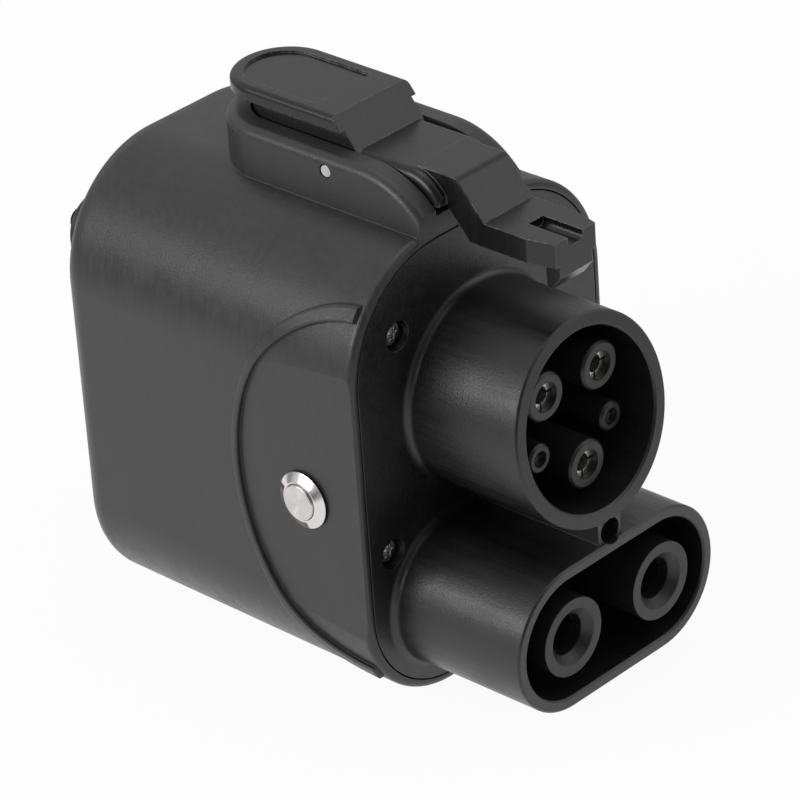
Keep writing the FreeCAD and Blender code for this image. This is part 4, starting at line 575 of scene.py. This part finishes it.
@dataclass
class TurnedPiece:
    """A lathe-made piece: rings joined in order, with a thread or a coil swept round it."""

    name: str
    place: Vector
    axis: Axis
    rings: list[Ring] = field(default_factory=list)
    facets: int = 72
    thread_steps: int = 30
    thread_sink: float = 0.15
    thread_foot: float = 0.42
    thread_crest: float = 0.08
    mesh: bmesh.types.BMesh = field(default_factory=bmesh.new)

    def turn_rings(self) -> None:
        """Join the rings; a ring of no radius closes the piece in a point."""
        rows = []
        for ring in self.rings:
            if ring.radius == 0:
                rows.append([self.mesh.verts.new((0, 0, ring.along * MM))])
                continue
            row = []
            for step in range(self.facets):
                angle = FULL_TURN * step / self.facets
                radius = ring.radius_at(angle) * MM
                row.append(self.mesh.verts.new((radius * math.cos(angle),
                                                radius * math.sin(angle), ring.along * MM)))
            rows.append(row)
        for first, second in zip(rows, rows[1:]):
            self.join_rows(first, second)

    def join_rows(self, first: list[bmesh.types.BMVert],
                  second: list[bmesh.types.BMVert]) -> None:
        """Put faces between two neighbouring rows of points.

        Args:
            first: Points of one ring, or its single point.
            second: Points of the next ring, or its single point.
        """
        for step in range(self.facets):
            after = (step + 1) % self.facets
            corners = [first[step % len(first)], first[after % len(first)],
                       second[after % len(second)], second[step % len(second)]]
            self.mesh.faces.new(list(dict.fromkeys(corners)))

    def sweep(self, path: list[tuple[float, float, float]],
              section: list[tuple[float, float]]) -> None:
        """Sweep a closed section round the axis.

        Args:
            path: Angle, place along the axis and radius of each step.
            section: Offsets outward and along the axis, in millimetres.
        """
        rows = []
        for angle, along, radius in path:
            rows.append([self.mesh.verts.new(((radius + out) * math.cos(angle) * MM,
                                              (radius + out) * math.sin(angle) * MM,
                                              (along + up) * MM)) for out, up in section])
        count = len(section)
        for first, second in zip(rows, rows[1:]):
            for index in range(count):
                after = (index + 1) % count
                self.mesh.faces.new((first[index], first[after], second[after], second[index]))
        self.mesh.faces.new(rows[0])
        self.mesh.faces.new(rows[-1][::-1])

    def cut_thread(self, start: float, end: float, root: float, pitch: float,
                   depth: float) -> None:
        """Wind a thread's ridge round a stretch of the axis.

        Args:
            start: Where the ridge starts along the axis.
            end: Where it ends.
            root: Radius that the ridge stands on.
            pitch: Advance of one turn.
            depth: Height of the ridge.
        """
        steps = self.thread_steps
        total = int((end - start) / pitch * steps)
        path = [(FULL_TURN * step / steps, start + pitch * step / steps,
                 root - depth * self.thread_sink) for step in range(total + 1)]
        foot = pitch * self.thread_foot
        crest = pitch * self.thread_crest
        self.sweep(path, [(0, -foot), (depth, -crest), (depth, crest), (0, foot)])

    def finish(self, material: bpy.types.Material) -> bpy.types.Object:
        """Turn the points into an object at its place, smooth and dressed.

        Args:
            material: Finish of the whole piece.

        Returns:
            The new object.
        """
        bmesh.ops.recalc_face_normals(self.mesh, faces=self.mesh.faces)
        mesh = bpy.data.meshes.new(self.name)
        self.mesh.to_mesh(mesh)
        self.mesh.free()
        mesh.materials.append(material)
        smooth(mesh)
        item = bpy.data.objects.new(self.name, mesh)
        bpy.context.scene.collection.objects.link(item)
        item.matrix_world = Matrix.Translation(self.place * MM) @ self.axis.value
        return item


def box_mm(node: str) -> tuple[Vector, Vector]:
    """Return a node's lowest and highest corners in millimetres."""
    low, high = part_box(node)
    return Vector(low) / MM, Vector(high) / MM


@dataclass
class PushButton:
    """Polished bezel with its threaded barrel, and the faced cap that slides in it."""

    shelf: FinishShelf
    cap_radius: float = 3.9
    cap_length: float = 4.0
    cap_edge: float = 0.25
    cap_dish: float = 0.06
    dish_share: float = 0.92
    dish_rings: int = 6
    stem_radius: float = 1.5
    gap: float = 0.1
    bore_depth: float = 3.4
    bore_chamfer: float = 0.06
    bezel_flat: float = 0.35
    bezel_edge: float = 0.2
    edge_round: float = 0.18
    burr: float = 0.02
    rim_chamfer: float = 0.12
    barrel_inset: float = 1.3
    end_play: float = 0.01
    thread_start: float = 0.6
    thread_end: float = 0.8
    thread_pitch: float = 0.75
    thread_depth: float = 0.3

    def build(self) -> None:
        """Build the bezel and the cap."""
        self.build_bezel()
        self.build_cap()

    def build_bezel(self) -> None:
        """Turn the bezel: a narrow flat round the cap, a steep polished bevel and the barrel."""
        low, high = box_mm("button_body")
        seal_low, _ = box_mm("button_seal")
        radius = (high.z - low.z) / 2
        bore = self.cap_radius + self.gap
        length = high.x - low.x
        root = radius - self.barrel_inset - self.thread_depth
        seat = seal_low.x - low.x
        piece = TurnedPiece("bezel_and_barrel",
                            Vector((low.x, (low.y + high.y) / 2, (low.z + high.z) / 2)), Axis.X)
        bevel_start = bore + self.bezel_flat
        piece.rings = [
            Ring(length - self.end_play, 0),
            Ring(length - self.end_play, root),
            Ring(seat, root),
            Ring(seat, radius - self.burr),
            Ring(seat - self.rim_chamfer, radius),
            Ring(seat - self.bezel_edge + self.burr, radius),
            Ring(self.edge_round, bevel_start + self.edge_round * 1.4),
            Ring(self.edge_round * 0.3, bevel_start + self.edge_round * 0.5),
            Ring(0.0, bevel_start),
            Ring(0.0, bore + self.bore_chamfer),
            Ring(self.bore_chamfer, bore),
            Ring(self.bore_depth, bore),
            Ring(self.bore_depth, 0),
        ]
        piece.turn_rings()
        piece.cut_thread(seat + self.thread_start, length - self.thread_end, root,
                         self.thread_pitch, self.thread_depth)
        item = piece.finish(self.shelf.take("button_metal"))
        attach(item, "adapter")
        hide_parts("button_body")
        LOG.info("built the bezel, %.1f mm across", radius * 2)

    def build_cap(self) -> None:
        """Turn the cap: a dished face with a rounded rim, and the stem behind it."""
        low, high = box_mm("button_cap")
        radius = (high.z - low.z) / 2
        length = high.x - low.x
        piece = TurnedPiece("button_cap_faced",
                            Vector((low.x, (low.y + high.y) / 2, (low.z + high.z) / 2)), Axis.X)
        edge = self.cap_edge
        curve = [Ring(edge * (1 - math.sin(step * ROUND_STEP)),
                      radius - edge * (1 - math.cos(step * ROUND_STEP)))
                 for step in range(ROUND_STEPS + 1)]
        count = self.dish_rings
        dish = [Ring(self.cap_dish * (1 - (step / count) ** 2),
                     radius * self.dish_share * step / count) for step in range(count - 1, 0, -1)]
        piece.rings = [
            Ring(length, 0),
            Ring(length, self.stem_radius),
            Ring(self.cap_length, self.stem_radius),
            Ring(self.cap_length, radius),
            *curve,
            *dish,
            Ring(self.cap_dish, 0),
        ]
        piece.turn_rings()
        item = piece.finish(self.shelf.take("button_cap_metal"))
        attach(item, "button")
        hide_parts("button_cap")
        LOG.info("built the cap, %.1f mm across", radius * 2)


@dataclass(frozen=True)
class ScrewRow:
    """Screws of one kind: the solids they stand for, the way they point and their heads."""

    nodes: tuple[str, ...]
    inward: Axis
    head_height: float


FRONT_SCREWS = ScrewRow(("plate_screw_1", "plate_screw_2", "plate_screw_3", "plate_screw_4",
                         "web_screw"), Axis.Y, 1.8)
RETAINER_SCREWS = ScrewRow(("retainer_screw_left", "retainer_screw_right"), Axis.BACK_Y, 1.8)
FLANGE_SCREWS = ScrewRow(("inlet_screw_1", "inlet_screw_2", "inlet_screw_3", "inlet_screw_4"),
                         Axis.BACK_Y, 1.0)


@dataclass
class CapScrews:
    """Socket-head screws with a six-lobed recess and a rolled thread."""

    shelf: FinishShelf
    rows: tuple[ScrewRow, ...] = (FRONT_SCREWS, RETAINER_SCREWS, FLANGE_SCREWS)
    seat_depth: float = 1.8
    shank_share: float = 0.577
    recess_share: float = 0.58
    recess_depth_share: float = 0.55
    recess_taper: float = 0.92
    lobes: int = 6
    lobe_share: float = 0.17
    head_round: float = 0.35
    head_chamfer: float = 0.08
    neck: float = 0.8
    tip_share: float = 0.5
    thread_pitch: float = 0.7
    thread_depth: float = 0.22

    def build(self) -> None:
        """Build every screw in place of its plain solid."""
        for row in self.rows:
            for node in row.nodes:
                self.build_screw(node, row)

    def build_screw(self, node: str, row: ScrewRow) -> None:
        """Turn one screw from its head to its tip.

        Args:
            node: The plain solid that the screw stands for.
            row: The kind of screw it is.
        """
        low, high = box_mm(node)
        head = (high.x - low.x) / 2
        length = high.y - low.y
        start = low.y if row.inward is Axis.Y else high.y
        top = self.seat_depth - row.head_height
        recess = head * self.recess_share
        lobe = head * self.lobe_share
        bottom = top + row.head_height * self.recess_depth_share
        piece = TurnedPiece(node + "_socket_head",
                            Vector(((low.x + high.x) / 2, start, (low.z + high.z) / 2)),
                            row.inward)
        rim = [Ring(top + self.head_round * (1 - math.cos(step * ROUND_STEP)),
                    head - self.head_round * (1 - math.sin(step * ROUND_STEP)))
               for step in range(ROUND_STEPS + 1)]
        shank = head * self.shank_share
        root = shank - self.thread_depth
        thread_start = self.seat_depth + self.neck
        chamfer = self.head_chamfer
        piece.rings = [
            Ring(bottom, 0),
            Ring(bottom, recess * self.recess_taper, self.lobes, lobe * self.recess_taper),
            Ring(top + chamfer, recess, self.lobes, lobe),
            Ring(top, recess + chamfer, self.lobes, lobe),
            *rim,
            Ring(self.seat_depth - chamfer, head),
            Ring(self.seat_depth, head - chamfer),
            Ring(self.seat_depth, shank),
            Ring(thread_start, shank),
            Ring(thread_start + self.thread_depth, root),
            Ring(length - self.neck, root),
            Ring(length, root * self.tip_share),
            Ring(length, 0),
        ]
        piece.turn_rings()
        piece.cut_thread(thread_start + self.thread_depth, length - self.neck, root,
                         self.thread_pitch, self.thread_depth)
        item = piece.finish(self.shelf.take("screw_steel", node))
        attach(item, "adapter")
        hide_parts(node)
        LOG.info("built %s, %.1f mm long", node, length)


@dataclass
class LatchHinge:
    """Hinge pin with chamfered ends, and the round wire of the spring under the thumb pad."""

    shelf: FinishShelf
    pin_chamfer: float = 0.25
    wire_radius: float = 0.4
    coils: float = 4.6
    closed_share: float = 0.12
    steps_a_turn: int = 36
    wire_facets: int = 12
    pressed_share: float = 0.81

    def build(self) -> None:
        """Build the pin and the spring."""
        self.build_pin()
        self.build_spring()

    def build_pin(self) -> None:
        """Turn the pin, whose ends show flush in the sides of the latch housing."""
        low, high = box_mm("latch_pin")
        radius = (high.z - low.z) / 2
        length = high.x - low.x
        edge = self.pin_chamfer
        piece = TurnedPiece("hinge_pin_ground",
                            Vector((low.x, (low.y + high.y) / 2, (low.z + high.z) / 2)), Axis.X)
        piece.rings = [Ring(0, 0), Ring(0, radius - edge), Ring(edge, radius),
                       Ring(length - edge, radius), Ring(length, radius - edge), Ring(length, 0)]
        piece.turn_rings()
        item = piece.finish(self.shelf.take("screw_steel"))
        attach(item, "adapter")
        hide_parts("latch_pin")
        LOG.info("built the hinge pin, %.1f mm long", length)

    def build_spring(self) -> None:
        """Wind the spring, with its first and last coils closed up."""
        low, high = box_mm("latch_spring")
        radius = (high.x - low.x) / 2 - self.wire_radius
        height = high.z - low.z - self.wire_radius * 2
        piece = TurnedPiece("latch_spring_coiled",
                            Vector(((low.x + high.x) / 2, (low.y + high.y) / 2, low.z)), Axis.Z)
        total = int(self.coils * self.steps_a_turn)
        path = []
        for step in range(total + 1):
            share = step / total
            eased = share - self.closed_share * math.sin(FULL_TURN * share) / FULL_TURN
            path.append((FULL_TURN * self.coils * share, self.wire_radius + height * eased,
                         radius))
        section = [(self.wire_radius * math.cos(FULL_TURN * step / self.wire_facets),
                    self.wire_radius * math.sin(FULL_TURN * step / self.wire_facets))
                   for step in range(self.wire_facets)]
        piece.sweep(path, section)
        item = piece.finish(self.shelf.take("spring_steel"))
        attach(item, "adapter")
        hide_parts("latch_spring")
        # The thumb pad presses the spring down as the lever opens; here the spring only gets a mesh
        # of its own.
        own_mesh(item)
        LOG.info("wound the latch spring, %.1f mm high", height)


@dataclass(frozen=True)
class SoftBox:
    """One lamp that faces the adapter: its place, width and height, and its power in watts."""

    name: str
    place_mm: tuple[float, float, float]
    size_mm: tuple[float, float]
    power: float


@dataclass
class Studio:
    """Camera, lamps, surroundings and floor around the adapter."""

    camera_mm: tuple[float, float, float] = (-634.5, -646.4, 547.9)
    right: tuple[float, float, float] = (0.67715, -0.73319, -0.06237)
    up: tuple[float, float, float] = (0.39483, 0.29051, 0.87162)
    back: tuple[float, float, float] = (-0.62095, -0.61484, 0.48621)
    lens_mm: float = 225.0
    sensor_mm: float = 36.0
    # A broad soft box on the button side, one above, and one at the right of the camera.
    lamps: tuple[SoftBox, ...] = (
        SoftBox("left_soft_box", (-957.0, 311.0, 500.0), (760.0, 380.0), 5.2),
        SoftBox("top_soft_box", (100.0, 100.0, 1000.0), (500.0, 500.0), 0.8),
        SoftBox("right_soft_box", (700.0, -620.0, 630.0), (550.0, 550.0), 0.75),
    )
    lit_point_mm: tuple[float, float, float] = (0.0, -10.0, 55.0)
    floor_mm: float = 6000.0
    horizon_glow: float = 0.3
    horizon_rise: float = 0.22
    sky_glow: float = 0.72
    plain_glow: float = 0.55
    dark_side: tuple[float, float, float] = (-0.62, -0.66, 0.42)
    dark_start: float = 0.6
    dark_end: float = 0.93
    dark_share: float = 0.1

    def build(self) -> None:
        """Set up the whole studio."""
        self.build_camera()
        self.build_lamps()
        self.build_world()
        self.build_floor()
        LOG.info("studio is up")

    def build_camera(self) -> None:
        """Place the camera where the photograph was taken from."""
        data = bpy.data.cameras.new("studio_camera")
        data.lens = self.lens_mm
        data.sensor_width = self.sensor_mm
        camera = bpy.data.objects.new("studio_camera", data)
        bpy.context.scene.collection.objects.link(camera)
        turn = Matrix((self.right, self.up, self.back)).transposed().to_4x4()
        camera.matrix_world = Matrix.Translation(Vector(self.camera_mm) * MM) @ turn
        bpy.context.scene.camera = camera

    def build_lamps(self) -> None:
        """Hang the soft boxes and turn them to the adapter."""
        for box in self.lamps:
            data = bpy.data.lights.new(box.name, "AREA")
            data.shape = "RECTANGLE"
            data.size = box.size_mm[0] * MM
            data.size_y = box.size_mm[1] * MM
            data.energy = box.power
            lamp = bpy.data.objects.new(box.name, data)
            bpy.context.scene.collection.objects.link(lamp)
            lamp.location = Vector(box.place_mm) * MM
            aim = (Vector(self.lit_point_mm) - Vector(box.place_mm)).normalized()
            lamp.rotation_euler = aim.to_track_quat("-Z", "Y").to_euler()

    def build_world(self) -> None:
        """Wrap white surroundings, duller in reflections low down and round the camera."""
        world = bpy.data.worlds.new("studio_world")
        world.use_nodes = True
        tree = world.node_tree
        tree.nodes.clear()
        direction = add_node(tree, "ShaderNodeTexCoord").outputs["Generated"]
        towards = add_node(tree, "ShaderNodeVectorMath", {0: direction},
                           {1: Vector(self.dark_side).normalized()}, operation="DOT_PRODUCT")
        around = add_node(tree, "ShaderNodeMapRange", {"Value": towards.outputs["Value"]},
                          {"From Min": self.dark_start, "From Max": self.dark_end,
                           "To Min": 1.0, "To Max": self.dark_share},
                          interpolation_type="SMOOTHSTEP")
        height = add_node(tree, "ShaderNodeSeparateXYZ", {"Vector": direction}).outputs["Z"]
        sky = add_node(tree, "ShaderNodeMapRange", {"Value": height},
                       {"From Min": 0.0, "From Max": self.horizon_rise,
                        "To Min": self.horizon_glow, "To Max": self.sky_glow},
                       interpolation_type="SMOOTHSTEP")
        glow = add_node(tree, "ShaderNodeMath",
                        {0: sky.outputs["Result"], 1: around.outputs["Result"]},
                        operation="MULTIPLY")
        ray = add_node(tree, "ShaderNodeLightPath")
        mirrored = add_node(tree, "ShaderNodeMapRange",
                            {"Value": ray.outputs["Is Glossy Ray"],
                             "To Max": glow.outputs["Value"]},
                            {"To Min": self.plain_glow})
        seen = add_node(tree, "ShaderNodeMath",
                        {0: ray.outputs["Is Camera Ray"], 1: ray.outputs["Is Transmission Ray"]},
                        operation="MAXIMUM")
        strength = add_node(tree, "ShaderNodeMath",
                            {0: mirrored.outputs["Result"], 1: seen.outputs["Value"]},
                            operation="MAXIMUM")
        shine = add_node(tree, "ShaderNodeBackground", {"Strength": strength.outputs["Value"]},
                         {"Color": (1, 1, 1, 1)})
        add_node(tree, "ShaderNodeOutputWorld", {"Surface": shine.outputs["Background"]})
        bpy.context.scene.world = world
        bpy.context.scene.view_settings.view_transform = "Standard"

    def build_floor(self) -> None:
        """Lay the white floor under the case."""
        half = self.floor_mm / 2 * MM
        corners = [(-half, -half, 0), (half, -half, 0), (half, half, 0), (-half, half, 0)]
        mesh = bpy.data.meshes.new("floor")
        mesh.from_pydata(corners, [], [(0, 1, 2, 3)])
        mesh.materials.append(WhiteFloor().build())
        floor = bpy.data.objects.new("floor", mesh)
        bpy.context.scene.collection.objects.link(floor)


def main() -> None:
    """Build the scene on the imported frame."""
    logging.basicConfig(level=logging.INFO, format="%(name)s: %(message)s")
    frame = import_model()
    shelf = FinishShelf()
    FrameDresser(frame, shelf).dress()
    PushButton(shelf).build()
    CapScrews(shelf).build()
    LatchHinge(shelf).build()
    Studio().build()


if __name__ == "__main__":
    main()
